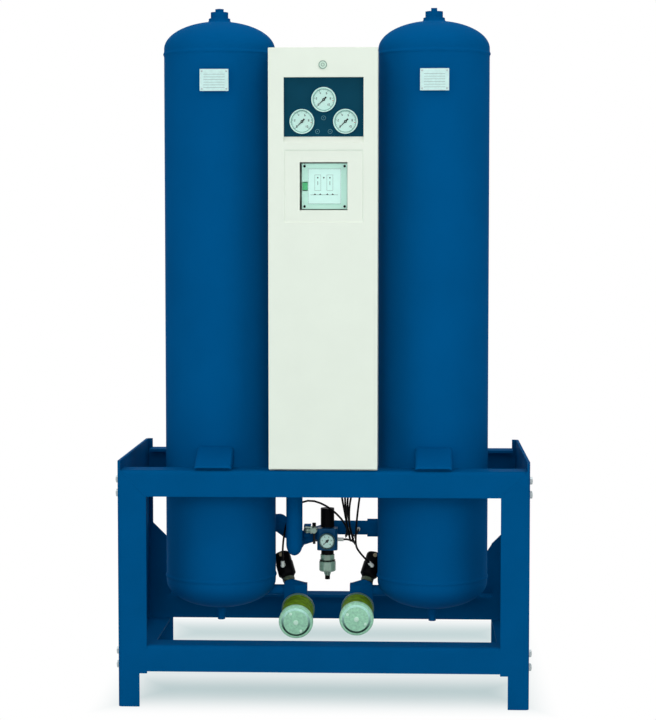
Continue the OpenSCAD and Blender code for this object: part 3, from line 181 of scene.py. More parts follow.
# the blue paints hardly shine, so that their edges keep their colour against the white sweep
matFrame = paint("framePaint", (0.0, 0.072, 0.212), rough=0.6, vary=0.04, grain=9.0, bump=0.05,
                 bumpScale=900.0, spec=0.003)
matVessel = paint("vesselPaint", (0.0, 0.0755, 0.228), rough=0.6, vary=0.04, grain=6.0, bump=0.06,
                  bumpScale=700.0, spec=0.003)
matCabinet = paint("cabinetPaint", (0.724, 0.779, 0.694), rough=0.5, vary=0.012, grain=12.0, bump=0.04,
                   bumpScale=1500.0, spec=0.15)
matPanel = paint("panelPaint", (0.003, 0.045, 0.080), rough=0.45, vary=0.06, grain=20.0, spec=0.03)
matZinc = paint("zincSteel", (0.42, 0.47, 0.48), rough=0.32, metal=0.9, vary=0.12, grain=220.0)
matBezel = paint("bezelSteel", (0.60, 0.84, 0.78), rough=0.32, metal=0.25, vary=0.03, grain=90.0, spec=0.3)
matDial = paint("dialWhite", (0.65, 0.86, 0.82), rough=0.6, vary=0.01, grain=60.0)
matBlack = paint("blackPlastic", (0.002, 0.002, 0.003), rough=0.42, vary=0.2, grain=120.0, spec=0.05)
matInk = paint("printedInk", (0.03, 0.045, 0.045), rough=0.7, vary=0.05, grain=200.0)
matRed = paint("redMark", (0.55, 0.05, 0.04), rough=0.6, vary=0.05, grain=200.0)
matBox = paint("boxPlastic", (0.56, 0.88, 0.76), rough=0.45, vary=0.02, grain=40.0, spec=0.2)
matField = paint("boxField", (0.60, 0.87, 0.80), rough=0.5, vary=0.015, grain=60.0, spec=0.2)
matGreen = paint("greenRocker", (0.05, 0.45, 0.17), rough=0.3, vary=0.08, grain=80.0, coat=0.4)
matRegulator = paint("regulatorPaint", (0.001, 0.062, 0.165), rough=0.4, vary=0.06, grain=60.0, spec=0.15)
matBeige = paint("beigeCap", (0.30, 0.25, 0.16), rough=0.5, vary=0.08, grain=150.0)
matPale = paint("palePlastic", (0.66, 0.70, 0.66), rough=0.4, vary=0.04, grain=120.0)
matNickel = paint("nickelBrass", (0.26, 0.36, 0.31), rough=0.3, metal=0.75, vary=0.15, grain=160.0)
matBrass = paint("brass", (0.42, 0.30, 0.11), rough=0.35, metal=0.85, vary=0.15, grain=140.0)
matMesh = paint("sleeveMesh", (0.138, 0.268, 0.011), rough=0.6, metal=0.1, vary=0.45, grain=60.0, bump=0.25,
                bumpScale=900.0, spec=0.04)
matCast = paint("castAluminium", (0.34, 0.66, 0.46), rough=0.45, metal=0.15, vary=0.16, grain=160.0,
                bump=0.15, bumpScale=600.0, spec=0.3)
# cap bevel strips: paler than the cap, as painted highlight on their upper side; their low side gets painted
# shade below
matCapBevelLitShaded = paint("capBevelLitShaded", (0.46, 0.80, 0.68), rough=0.45, vary=0.12, grain=160.0, spec=0.2)
matFlange = paint("flangeSteel", (0.075, 0.150, 0.140), rough=0.45, vary=0.1, grain=160.0, spec=0.3)
matBonnet = paint("bonnetBrass", (0.050, 0.075, 0.042), rough=0.35, metal=0.3, vary=0.35, grain=110.0)
matCapBoss = paint("capBoss", (0.60, 0.86, 0.70), rough=0.4, vary=0.05, grain=160.0, spec=0.3)
matMedia = paint("whiteMedia", (0.72, 0.70, 0.62), rough=0.8, vary=0.1, grain=300.0)
matTag = paint("tagSteel", (0.53, 0.728, 0.705), rough=0.4, metal=0.15, vary=0.06, grain=120.0, spec=0.3)
# painted shadow of the gauge bezels: a grey-teal ring on the rim of each dial
matBezelShadow = paint("bezelShadowPaint", (0.22, 0.42, 0.40), rough=0.6, vary=0.03, grain=60.0, spec=0.1)
matLock = paint("lockSteel", (0.52, 0.68, 0.58), rough=0.35, metal=0.2, vary=0.05, grain=150.0, spec=0.4)
matLockRim = paint("lockRim", (0.20, 0.30, 0.25), rough=0.4, metal=0.2, vary=0.08, grain=150.0)
matPlug = paint("plugPlastic", (0.060, 0.200, 0.240), rough=0.35, vary=0.05, grain=90.0)
matTube = paint("blackTube", (0.002, 0.002, 0.003), rough=0.35, vary=0.15, grain=90.0, spec=0.06)
matGlass = clearGlass("gaugeGlass", (0.97, 0.99, 0.98), gloss=0.012)
matBowl = clearGlass("bowlPlastic", (0.55, 0.72, 0.64), gloss=0.10, rough=0.15, cloud=0.55,
                     body=(0.24, 0.40, 0.31))
# painted shade on the low side of the cap bevels, dark case of the regulator's gauge, black lower half of the
# pilot valve
secondTone(matCapBevelLitShaded, "Z", limit=0.206, colour=(0.012, 0.050, 0.034), metal=0.0, soft=0.042)
secondTone(matBezel, "Z", limit=1.0, colour=(0.01, 0.05, 0.06), metal=0.2)
secondTone(matNickel, "Z", limit=0.453, colour=(0.006, 0.008, 0.010), metal=0.0)
print("materials made")

# five air tubes, along the same points as the part's, in mm
tubes = {
    "left_valve_tube": [
        (43, -190, 654), (43, -190, 638), (45.5, -184, 612), (49.5, -168, 581), (56, -138, 537),
        (62.5, -106, 491), (70, -73, 448), (70.5, -60.7, 440.9), (69.2, -46.2, 441.6),
        (66.7, -34.8, 449.8), (63, -30, 464), (56, -30, 481), (46, -30, 497), (35, -30, 510),
        (23, -30, 521.5), (10, -30, 532), (-4, -30, 541), (-27, -30, 551.5), (-51, -30, 556),
        (-75, -30, 551), (-96, -32, 536), (-112, -35, 511), (-122, -37, 482), (-128, -39, 452),
        (-131, -40, 424), (-132, -40, 400), (-132, -40, 376)],
    "right_valve_tube": [
        (106, -190, 654), (106, -190, 638), (104, -184, 612), (99.5, -168, 580), (94, -138, 538),
        (89.5, -108, 496), (87, -80, 457), (86.5, -65, 435), (89.5, -54, 419), (97, -48.5, 406),
        (109, -45.7, 391), (125.6, -40.6, 373)],
    "regulator_tube": [
        (71, -190, 654), (71, -190, 642), (70, -186, 622), (66.5, -170, 590), (64.5, -141, 547),
        (69.5, -107, 496), (76.5, -76, 455), (80.5, -60, 439), (83.6, -44, 430), (84.2, -32, 427),
        (83.6, -21, 427), (80, -11, 429), (71.5, -2.6, 433.2), (60, 0, 436), (48, 0, 436)],
    "left_gauge_tube": [
        (57, -190, 654), (57, -190, 642), (57.2, -186, 622), (57.5, -168, 593), (58.5, -136, 548),
        (61, -103, 501), (61, -78, 468), (58.5, -60, 456), (56.3, -42, 452.5), (57, -24, 455.5),
        (59.3, -7, 461), (60, 8, 463), (60, 20, 463)],
    "right_gauge_tube": [
        (85, -190, 654), (85, -190, 642), (83.5, -186, 622), (77, -169, 594), (70, -137, 552),
        (68.5, -103, 505), (71, -76, 472), (75, -58, 459), (80.5, -40, 453), (86, -22, 454),
        (90.5, -6, 460), (92, 8, 463), (92, 20, 463)],
}
tubeMake = dict(diameter=0.006, steps=36)
for nodeName, route in tubes.items():
    line = smoothRoute(np.array(route) / 1000.0, tubeMake["steps"])
    curve = bpy.data.curves.new(nodeName + "Curve", "CURVE")
    curve.dimensions = "3D"
    curve.bevel_depth = tubeMake["diameter"] / 2
    curve.bevel_resolution = 4
    curve.use_fill_caps = True
    spline = curve.splines.new("POLY")
    spline.points.add(len(line) - 1)
    spline.points.foreach_set("co", np.hstack([line, np.ones((len(line), 1))]).ravel())
    spline.use_smooth = True
    tube = bpy.data.objects.new(nodeName + "Curve", curve)
    scene.collection.objects.link(tube)
    curve.materials.append(matTube)
    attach(tube, "dryer")
    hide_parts(nodeName)
print("tubes laid")


def axes(along):
    # two directions square to the axis, so that first x second = axis
    d = np.array(along, float) / np.linalg.norm(along)
    side = np.cross([0.0, 1.0, 0.0] if abs(d[1]) < 0.9 else [1.0, 0.0, 0.0], d)
    side /= np.linalg.norm(side)
    return side, np.cross(d, side), d


def quads(points, around=True):
    # faces of a grid whose second index runs around
    m, n = points.shape[:2]
    rows, cols = np.meshgrid(np.arange(m - 1), np.arange(n if around else n - 1), indexing="ij")
    nextCol = (cols + 1) % n
    faces = np.stack([rows * n + cols, rows * n + nextCol, (rows + 1) * n + nextCol, (rows + 1) * n + cols],
                     axis=-1)
    return points.reshape(-1, 3), faces.reshape(-1, 4)


def revolve(profile, origin, along, count=64):
    # point = origin + height along the axis + radius times the turning direction
    r, h = np.array(profile, float).T
    e1, e2, d = axes(along)
    a = np.linspace(0, 2 * math.pi, count, endpoint=False)
    turn = np.cos(a)[:, None] * e1 + np.sin(a)[:, None] * e2
    return quads(np.array(origin) + h[:, None, None] * d + r[:, None, None] * turn)


def bar(start, end, radius, count=48):
    # round bar with flat ends
    run = np.subtract(end, start)
    length = float(np.linalg.norm(run))
    return revolve([(0, 0), (radius, 0), (radius, length), (0, length)], start, run, count)


def slab(low, high):
    # box from its two corners
    x, y, z = (np.array([a, b]) for a, b in zip(low, high))
    v = np.array([(i, j, k) for i in x for j in y for k in z])
    f = np.array([(0, 1, 3, 2), (4, 6, 7, 5), (0, 4, 5, 1), (2, 3, 7, 6), (0, 2, 6, 4), (1, 5, 7, 3)])
    return v, f


def piece(name, parts, material, body, standsFor=(), sharp=32.0):
    # one mesh from several surfaces, with doubled points joined and hard edges kept
    shift, points, faces = 0, [], []
    for v, f in parts:
        points.append(v)
        faces.append(f + shift)
        shift += len(v)
    mesh = bpy.data.meshes.new(name)
    mesh.from_pydata(np.vstack(points).tolist(), [], np.vstack(faces).tolist())
    work = bmesh.new()
    work.from_mesh(mesh)
    bmesh.ops.remove_doubles(work, verts=work.verts, dist=1e-6)
    bmesh.ops.dissolve_degenerate(work, dist=1e-7, edges=work.edges)
    work.to_mesh(mesh)
    work.free()
    mesh.polygons.foreach_set("use_smooth", np.ones(len(mesh.polygons), bool))
    mesh.set_sharp_from_angle(angle=math.radians(sharp))
    mesh.materials.append(material)
    obj = bpy.data.objects.new(name, mesh)
    scene.collection.objects.link(obj)
    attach(obj, body)
    if standsFor:
        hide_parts(*standsFor)
    return obj


# pressure vessels: pipe shell, half-ellipse heads, a bell-shaped rise with ripples at each seam; level pipe
# stubs start inside the shell, with their left and right values in pairs
vessel = dict(r=0.162, x=0.313, y=-0.063, lowSeam=0.341, highSeam=1.870, rim=0.015, head=0.081,
              bead=0.0026, beadWide=0.0046, ripple=0.15, ripples=72,
              collarR=0.0315, collarTop=1.975, plugR=0.020, bossR=0.015, bossLow=0.225, drainR=0.009,
              stubRoot=0.75,
              stubs=dict(header=dict(y=0.060, z=(0.476, 0.463), end=(-0.178, 0.178), r=0.0212),
                         exhaust=dict(y=-0.022, z=(0.288, 0.288), end=(-0.128, 0.136), r=0.015),
                         outlet=dict(y=0.020, z=(1.700, 1.700), end=(-0.150, 0.150), r=0.0212)))


def vesselShell(side):
    v = vessel
    bow = np.linspace(0, math.pi / 2, 36)
    lowRim, highRim = v["lowSeam"] - v["rim"], v["highSeam"] + v["rim"]
    near = np.linspace(-0.012, 0.012, 25)  # fine rows where the beads rise
    straight = np.concatenate([v["lowSeam"] + near, np.linspace(v["lowSeam"] + 0.02, v["highSeam"] - 0.02, 9),
                               v["highSeam"] + near])
    r = np.concatenate([v["r"] * np.sin(bow), np.full(len(straight), v["r"]), v["r"] * np.cos(bow)])
    z = np.concatenate([lowRim - v["head"] * np.cos(bow), straight, highRim + v["head"] * np.sin(bow)])
    a = np.linspace(0, 2 * math.pi, 144, endpoint=False)
    swell = sum(np.exp(-((z - s) / v["beadWide"]) ** 2) for s in (v["lowSeam"], v["highSeam"]))
    ripple = 1 + v["ripple"] * np.sin(v["ripples"] * a)
    radius = r[:, None] + v["bead"] * swell[:, None] * ripple[None, :]
    points = np.stack([side * v["x"] + radius * np.cos(a), v["y"] + radius * np.sin(a),
                       np.repeat(z[:, None], len(a), 1)], axis=-1)
    return quads(points)


def vesselFittings(side):
    # collar and boss turned around the vessel's axis, stubs as bars
    v = vessel
    x, y = side * v["x"], v["y"]
    hand = 0 if side < 0 else 1
    top = v["highSeam"] + v["rim"] + v["head"]
    foot = v["lowSeam"] - v["rim"] - v["head"]
    r, end = v["collarR"], v["collarTop"]
    collar = [(r + 0.007, top - 0.006), (r + 0.0025, top - 0.0015), (r, top + 0.003), (r, end - 0.001),
              (r - 0.001, end), (v["plugR"], end)]
    r, end = v["bossR"], v["bossLow"]
    boss = [(v["drainR"], end), (r - 0.001, end), (r, end + 0.001), (r, foot - 0.002),
            (r + 0.006, foot + 0.004)]
    root = x - side * v["r"] * v["stubRoot"]
    stubs = [bar((root, p["y"], p["z"][hand]), (p["end"][hand], p["y"], p["z"][hand]), p["r"])
             for p in v["stubs"].values()]
    return [revolve(collar, (x, y, 0), (0, 0, 1), 72), revolve(boss, (x, y, 0), (0, 0, 1), 48)] + stubs


for side, nodeName in ((-1, "left_vessel"), (1, "right_vessel")):
    parts = [vesselShell(side)] + vesselFittings(side)
    piece(nodeName + "Skin", parts, matVessel, "dryer", [nodeName])
print("vessels made")

# support brackets: a sheet folded down over both sides, which rises from the toe to its full height along the
# slope, on a packer that keeps it off the beam
bracket = dict(w=0.104, h=0.057, toe=0.0135, t=0.006, fold=0.009, foot=0.0065, deck=0.679,
               packerIn=0.018, packerL=0.060, packerInset=0.0005,
               front=dict(y=-0.321, slope=0.084), rear=dict(y=0.321, slope=0.080))


def bracketSheet(side, end):
    b, v = bracket, vessel
    start, slope = b[end]["y"], b[end]["slope"]
    way = 1 if end == "front" else -1
    arc = np.linspace(0, math.pi / 2, 7)
    flat = np.linspace(b["fold"] - b["w"] / 2, 0, 7)[1:]
    skins = []
    for r, under in ((b["fold"], 0.0), (b["fold"] - b["t"], b["t"])):
        # half of the section: foot, side, fold, half of the top, as place across and depth under the top
        x = np.concatenate([[under - b["w"] / 2], b["fold"] - b["w"] / 2 - r * np.cos(arc), flat])
        drop = np.concatenate([[np.inf], b["fold"] - r * np.sin(arc), np.full(len(flat), under)])
        skins.append((np.concatenate([x, -x[-2::-1]]), np.concatenate([drop, drop[-2::-1]])))
    rows = []
    for x, drop in skins:
        wall = abs(v["y"] - start) - np.sqrt(v["r"] ** 2 - x ** 2)
        run = np.stack([np.zeros(len(x)), np.full(len(x), slope), wall])
        rise = b["toe"] + (b["h"] - b["toe"]) * np.minimum(run / slope, 1)
        z = b["deck"] + np.maximum(rise - drop, b["foot"])
        across = np.broadcast_to(side * v["x"] + x, run.shape)
        rows.append(np.stack([across, start + way * run, z], axis=-1)[::way])
    outer, inner = rows
    ends = sorted((start + way * b["packerIn"], start + way * (b["packerIn"] + b["packerL"])))
    middle, half = side * v["x"], b["w"] / 2 - b["packerInset"]
    packer = slab((middle - half, ends[0], b["deck"]), (middle + half, ends[1], b["deck"] + b["foot"]))
    hull = quads(np.concatenate([outer, inner[:, ::-1]], axis=1))
    rims = [quads(np.stack([inner[0], outer[0]]), around=False),
            quads(np.stack([outer[-1], inner[-1]]), around=False)]
    return [packer, hull] + rims


folded = [sheet for side in (-1, 1) for end in ("front", "rear") for sheet in bracketSheet(side, end)]
piece("bracketSheets", folded, matVessel, "dryer", ["vessel_brackets"])
print("brackets made")

# upright inlet pipe: domed end, bend to the rear, threaded socket
riser = dict(x=-0.094, y=-0.090, r=0.02415, low=0.401, domeH=0.034, bendR=0.062, supplyZ=0.900, endY=0.316,
             socketR=0.030, socketL=0.046, socketEdge=0.002, stop=0.004, bore=0.0224,
             branchZ=0.425, branchR=0.0212, branchY=0.010)


def riserParts():
    p = riser
    t = np.linspace(0, math.pi / 2, 14)
    top = p["supplyZ"] - p["bendR"]
    stem = list(zip(p["r"] * np.sin(t), p["low"] + p["domeH"] * (1 - np.cos(t)))) + [(p["r"], top)]
    a = np.linspace(0, math.pi / 2, 17)
    b = np.linspace(0, 2 * math.pi, 48, endpoint=False)
    middle = p["y"] + p["bendR"]
    # bend: a ring carried around a quarter circle in the YZ plane
    ring = p["bendR"] - p["r"] * np.cos(b)
    bend = np.stack([np.broadcast_to(p["x"] - p["r"] * np.sin(b), (len(a), len(b))),
                     middle - np.cos(a)[:, None] * ring, top + np.sin(a)[:, None] * ring], axis=-1)
    end = p["endY"] - middle
    mouth = p["endY"] - p["socketL"] - middle
    bottom = mouth + p["stop"]
    r, edge = p["socketR"], p["socketEdge"]
    socket = [(0, 0), (p["r"], 0), (p["r"], mouth), (r - edge, mouth), (r, mouth + edge), (r, end - edge),
              (r - edge, end), (p["bore"], end), (p["bore"], bottom), (0, bottom)]
    return [revolve(stem, (p["x"], p["y"], 0), (0, 0, 1), 48), quads(bend[:, ::-1]),
            revolve(socket, (p["x"], middle, p["supplyZ"]), (0, 1, 0), 48),
            bar((p["x"], p["y"], p["branchZ"]), (p["x"], p["branchY"], p["branchZ"]), p["branchR"])]


piece("riserSkin", riserParts(), matVessel, "dryer", ["inlet_pipe"])
print("riser made")

# piston actuators on the exhaust valves: turned barrel with a step and a round crown, beige indicator on top
# and a beige window in its side
actuator = dict(r=0.026, length=0.082, bonnet=0.014, leanOut=18.0, leanBack=25.0,
                footX={-1: -0.1135, 1: 0.1175}, footY=-0.021, footZ=0.312,
                step=0.0015, stepLow=0.54, stepHigh=0.57, crownR=0.0105, crownAt=0.014,
                capR=0.0065, spotAt=0.066, spotR=0.0062, spotIn=0.0025)


def actuatorAxis(side):
    # upright, leant back first and then out
    back, out = math.radians(actuator["leanBack"]), math.radians(actuator["leanOut"]) * side
    tilted = np.array([0, math.sin(back), math.cos(back)])
    return np.array([tilted[2] * math.sin(out), tilted[1], tilted[2] * math.cos(out)])


for side, nodeName in ((-1, "left_actuator"), (1, "right_actuator")):
    p = actuator
    d = actuatorAxis(side)
    foot = np.array([p["footX"][side], p["footY"], p["footZ"]]) + d * p["bonnet"]
    r, top = p["r"], p["length"]
    upper, crown = r - p["step"], top - p["crownAt"]
    crest = crown + p["crownR"]
    bow = np.linspace(0, math.pi / 2, 12)
    profile = [(0, 0), (r - 0.007, 0), (r - 0.003, 0.005), (r - 0.0006, 0.0075), (r, 0.0095),
               (r, top * p["stepLow"]), (upper, top * p["stepHigh"]), (upper, crown)]
    profile += zip(upper - p["crownR"] * (1 - np.cos(bow)), crown + p["crownR"] * np.sin(bow))
    profile.append((0, crest))
    barrel = revolve(profile, foot, d, 64)
    piece(nodeName + "Skin", [barrel], matBlack, "dryer", [nodeName], sharp=40.0)
    indicator = [(p["capR"], crest - 0.0001), (p["capR"], top - 0.001), (p["capR"] - 0.001, top), (0, top)]
    look = np.array([0, -1.0, 0]) - d * np.dot([0, -1.0, 0], d)
    look /= np.linalg.norm(look)
    spot = foot + d * p["spotAt"] + look * (r - p["spotIn"])
    window = [(p["spotR"], 0), (p["spotR"], 0.0020), (p["spotR"] - 0.0008, 0.0030), (0, 0.0034)]
    trim = [revolve(indicator, foot, d, 32), revolve(window, spot, look, 32)]
    piece(nodeName + "Cap", trim, matBeige, "dryer")
print("actuators made")

# mufflers: knitted sleeve whose radius waves in two crossing directions
muffler = dict(sleeveR=0.046, wall=0.006, length=0.106, plate=0.006, rearY=-0.070,
               wave=0.0005, stitches=40, climb=700.0,
               left=dict(x=-0.084, z=0.238, droop=7.0), right=dict(x=0.092, z=0.240, droop=3.0))


def mufflerAxis(key):
    # middle of the rear plate, direction towards the front cap
    m = muffler[key]
    slope = math.radians(m["droop"])
    return np.array([m["x"], muffler["rearY"], m["z"]]), np.array([0, -math.cos(slope), -math.sin(slope)])


sleeves = []
for key in ("left", "right"):
    p = muffler
    rear, d = mufflerAxis(key)
    e1, e2, _ = axes(d)
    s = np.linspace(0, p["length"], 90)[:, None]
    a = np.linspace(0, 2 * math.pi, 240, endpoint=False)
    knit = np.sin(p["stitches"] * a + s * p["climb"]) * np.sin(p["stitches"] * a - s * p["climb"])
    radius = p["sleeveR"] - 2 * p["wave"] + p["wave"] * knit
    turn = np.cos(a)[:, None] * e1 + np.sin(a)[:, None] * e2
    origin = rear + d * p["plate"]
    sleeves.append(quads(origin + s[..., None] * d + radius[..., None] * turn))
    inner = p["sleeveR"] - p["wall"]
    sleeves.append(revolve([(inner, p["length"]), (inner, 0)], origin, d, 64))
piece("sleeveKnit", sleeves, matMesh, "dryer", ["muffler_sleeves"])

# cap trim: bevel strip between the rim and the raised face, round boss, two screws; ring on the rear plate
cap = dict(front=0.130, flangeR=0.0492, step=0.004, faceR=0.0365, bevel=0.0045, skin=0.0002,
           bossR=0.0072, bossH=0.0025, screwR=0.0042, screwH=0.0019, screwAt=0.0295,
           turn=dict(left=120.0, right=152.0))


def roundHead(r, h, drop, inset, at, along, count):
    # low disc with a bevelled edge
    return revolve([(r, 0), (r, h - drop), (r - inset, h), (0, h)], at, along, count)


bevels, bosses, flanges = [], [], []
for key in ("left", "right"):
    p = cap
    rear, d = mufflerAxis(key)
    e1 = np.array([1.0, 0, 0])
    e2 = np.cross(d, e1)
    middle = rear + d * p["front"]
    r, plate, skin = p["flangeR"], muffler["plate"], p["skin"]
    ring = [(r, 0.0), (r, plate), (r - 0.0003, plate + skin), (muffler["sleeveR"] - 0.0005, plate + skin)]
    flanges.append(revolve(ring, rear, d, 96))
    r, outer, low = p["faceR"], p["faceR"] + p["bevel"], 0.00015 - p["step"]
    strip = [(outer + 0.0012, low), (outer, low), (r + 0.0002, skin), (r - 0.0008, skin)]
    bevels.append(revolve(strip, middle, d, 96))
    bosses.append(roundHead(p["bossR"], p["bossH"], 0.0004, 0.0008, middle, d, 40))
    for half in (0, 180):
        a = math.radians(p["turn"][key] + half)
        at = middle + p["screwAt"] * (math.cos(a) * e1 + math.sin(a) * e2)
        bosses.append(roundHead(p["screwR"], p["screwH"], 0.0003, 0.0007, at, d, 28))
piece("capBevels", bevels, matCapBevelLitShaded, "dryer")
piece("rearRings", flanges, matFlange, "dryer")
piece("capBosses", bosses, matCapBoss, "dryer")
print("mufflers made")

# regulator bowl: turned, with a round lower edge, a narrower upper half and a black band between them
bowl = dict(x=0.0, y=0.0, top=0.391, bottom=0.340, r=0.025, edge=0.006, upperR=0.0212, mouthR=0.0145,
            neckR=0.012, neckIn=0.004, neckH=0.012, drainR=0.0063, bandZ=0.373, bandT=0.0022, bandH=0.0022)


def bowlParts():
    b = bowl
    bow = np.linspace(-math.pi / 2, 0, 10)
    low, r, edge = b["bottom"] - b["neckH"], b["r"], b["edge"]
    outer = [(b["drainR"], low), (b["neckR"] - b["neckIn"], low), (b["neckR"], b["bottom"])]
    outer += zip(r - edge + edge * np.cos(bow), b["bottom"] + edge + edge * np.sin(bow))
    outer += [(r, b["bandZ"] - 0.004), (b["upperR"] + 0.001, b["bandZ"] - 0.002),
              (b["upperR"], b["bandZ"] + 0.002), (b["upperR"], b["top"]), (b["mouthR"], b["top"])]
    return [revolve(outer, (b["x"], b["y"], 0), (0, 0, 1), 56)]


def bandParts():
    b = bowl
    inner, outer = b["upperR"] + 0.0002, b["upperR"] + b["bandT"]
    low, high = b["bandZ"] - b["bandH"], b["bandZ"] + b["bandH"]
    hoop = [(inner, low), (outer, low + 0.0004), (outer, high - 0.0004), (inner, high)]
    return [revolve(hoop, (b["x"], b["y"], 0), (0, 0, 1), 56)]


piece("bowlSkin", bowlParts(), matBowl, "dryer", ["filter_bowl"])
piece("bowlBand", bandParts(), matBlack, "dryer")
print("bowl made")


def disc(x, y, z, radius, inner=0.0, count=40):
    # flat ring that faces the viewer, towards -Y
    return revolve([(radius, 0), (inner, 0)], (x, y, z), (0, -1, 0), count)


def strokes(lines, y, width):
    # flat strips in the XZ plane, facing -Y: each end goes half a width to both sides, square to its line
    ends = np.array(lines, float).reshape(-1, 2, 2)
    start, stop = ends[:, 0], ends[:, 1]
    run = stop - start
    off = np.stack([-run[:, 1], run[:, 0]], axis=1) / np.linalg.norm(run, axis=1, keepdims=True) * width / 2
    corners = np.stack([start - off, stop - off, stop + off, start + off], axis=1)
    return [(np.insert(corners, 1, y, axis=2).reshape(-1, 3), np.arange(4 * len(ends)).reshape(-1, 4))]


# gauge faces: one dial on the regulator, three on the panel
gauges = dict(panelY=-0.304, places=((0.002, 1.724), (-0.059, 1.663), (0.063, 1.663)), r=0.031,
              smallY=-0.038, small=(0.0, 0.436), smallR=0.021, dialT=0.00215, inkT=0.00005)
# their print and the painted bezel shadow ring at the rim, in degrees and shares of the dial's radius: every
# tenth stroke is long, every fifth middling
dial = dict(zero=225, sweep=270, steps=50, markOut=0.92, longIn=0.80, middleIn=0.84, shortIn=0.87,
            longPen=0.040, shortPen=0.022, numberAt=0.64, digit=0.085, spacing=1.6, digitPen=0.036,
            limit=0.86, limitIn=0.78, limitOut=0.93, limitPen=0.05, shadowIn=0.93, shadowOut=0.99)
numbers = ("0", "2", "4", "6", "8", "10")
digitStrokes = {"0": [(0, 0, 1, 0), (1, 0, 1, 2), (1, 2, 0, 2), (0, 2, 0, 0)], "1": [(0.5, 0, 0.5, 2)],
                "2": [(0, 2, 1, 2), (1, 2, 1, 1), (1, 1, 0, 1), (0, 1, 0, 0), (0, 0, 1, 0)],
                "4": [(0, 2, 0, 1), (0, 1, 1, 1), (1, 2, 1, 0)],
                "6": [(1, 2, 0, 2), (0, 2, 0, 0), (0, 0, 1, 0), (1, 0, 1, 1), (1, 1, 0, 1)],
                "8": [(0, 0, 1, 0), (1, 0, 1, 2), (1, 2, 0, 2), (0, 2, 0, 0), (0, 1, 1, 1)]}


def dialPoint(x, z, r, share):
    # point at a radius and a share of the sweep
    a = math.radians(dial["zero"] - dial["sweep"] * share)
    return x + r * math.cos(a), z + r * math.sin(a)


def scaleMarks(x, z, y, r):
    out = []
    for k in range(dial["steps"] + 1):
        inner = dial["longIn"] if k % 10 == 0 else dial["middleIn"] if k % 5 == 0 else dial["shortIn"]
        pen = dial["longPen"] if k % 10 == 0 else dial["shortPen"]
        start = dialPoint(x, z, inner * r, k / dial["steps"])
        end = dialPoint(x, z, dial["markOut"] * r, k / dial["steps"])
        out += strokes([(*start, *end)], y, r * pen)
    return out


def scaleNumbers(x, z, y, r):
    out = []
    size = r * dial["digit"]
    for k, word in enumerate(numbers):
        midX, midZ = dialPoint(x, z, dial["numberAt"] * r, k / (len(numbers) - 1))
        for i, digit in enumerate(word):
            corner = (midX + (i - len(word) / 2) * size * dial["spacing"], midZ - size)
            lines = np.array(digitStrokes[digit]) * size + np.array(corner * 2)
            out += strokes(lines, y, r * dial["digitPen"])
    return out


def limitMark(x, z, y, r):
    inner, outer = (dialPoint(x, z, dial[key] * r, dial["limit"]) for key in ("limitIn", "limitOut"))
    return strokes([(*inner, *outer)], y - gauges["inkT"], r * dial["limitPen"])


faces = [(x, z, gauges["panelY"] - gauges["dialT"], gauges["r"]) for x, z in gauges["places"]]
faces.append((*gauges["small"], gauges["smallY"] - gauges["dialT"], gauges["smallR"]))
ink, red, shades = [], [], []
for x, z, y, r in faces:
    ink += scaleMarks(x, z, y, r) + scaleNumbers(x, z, y, r)
    red += limitMark(x, z, y, r)
    # grey-teal ring at each dial's rim, painted shadow of the bezel
    shades.append(disc(x, y + gauges["inkT"], z, r * dial["shadowOut"], r * dial["shadowIn"], 64))
piece("bezelShadowRings", shades, matBezelShadow, "dryer")
piece("dialScales", ink, matInk, "dryer")
piece("dialLimits", red, matRed, "dryer")
print("dials printed")

# small round plugs on the gauge panel: turned ring with a sunk middle, a paler rim and a dot
plugs = dict(y=-0.304, r=0.0068, ringH=0.0018, sunk=0.0012, dotR=0.0013, inkT=0.0001,
             places=((0.0016, 1.673), (-0.0155, 1.635), (0.020, 1.635)))
r, sunk = plugs["r"], plugs["sunk"]
profile = [(r, 0), (r, sunk), (r - 0.0012, plugs["ringH"]), (r - 0.0022, sunk), (0, sunk)]
rings = [revolve(profile, (x, plugs["y"], z), (0, -1, 0), 32) for x, z in plugs["places"]]
piece("panelPlugs", rings, matPanel, "dryer")
rimY, dotY = plugs["y"] - plugs["ringH"] - plugs["inkT"], plugs["y"] - sunk - plugs["inkT"]
rims = [disc(x, rimY, z, r - 0.0004, r - 0.0016, 32) for x, z in plugs["places"]]
rims += [disc(x, dotY, z, plugs["dotR"], 0.0, 16) for x, z in plugs["places"]]
piece("plugRims", rims, matPlug, "dryer")

# rims of the lock's head and of its core, and a dark sheet of painted shade at the bottom of its slot, which
# turn with it
lock = dict(x=0.0, z=1.820, y=-0.3212, rims=((0.0119, 0.0094, 48), (0.0052, 0.0034, 32)),
            slotY=-0.3196, slotHalf=0.0056, slotW=0.0019)
rims = [disc(lock["x"], lock["y"], lock["z"], *rim) for rim in lock["rims"]]
piece("lockRim", rims, matLockRim, "lock")
slotLine = (lock["x"] - lock["slotHalf"], lock["z"], lock["x"] + lock["slotHalf"], lock["z"])
# dark strip in the slot: painted shade
piece("lockSlotShade", strokes([slotLine], lock["slotY"], lock["slotW"]), matInk, "lock")

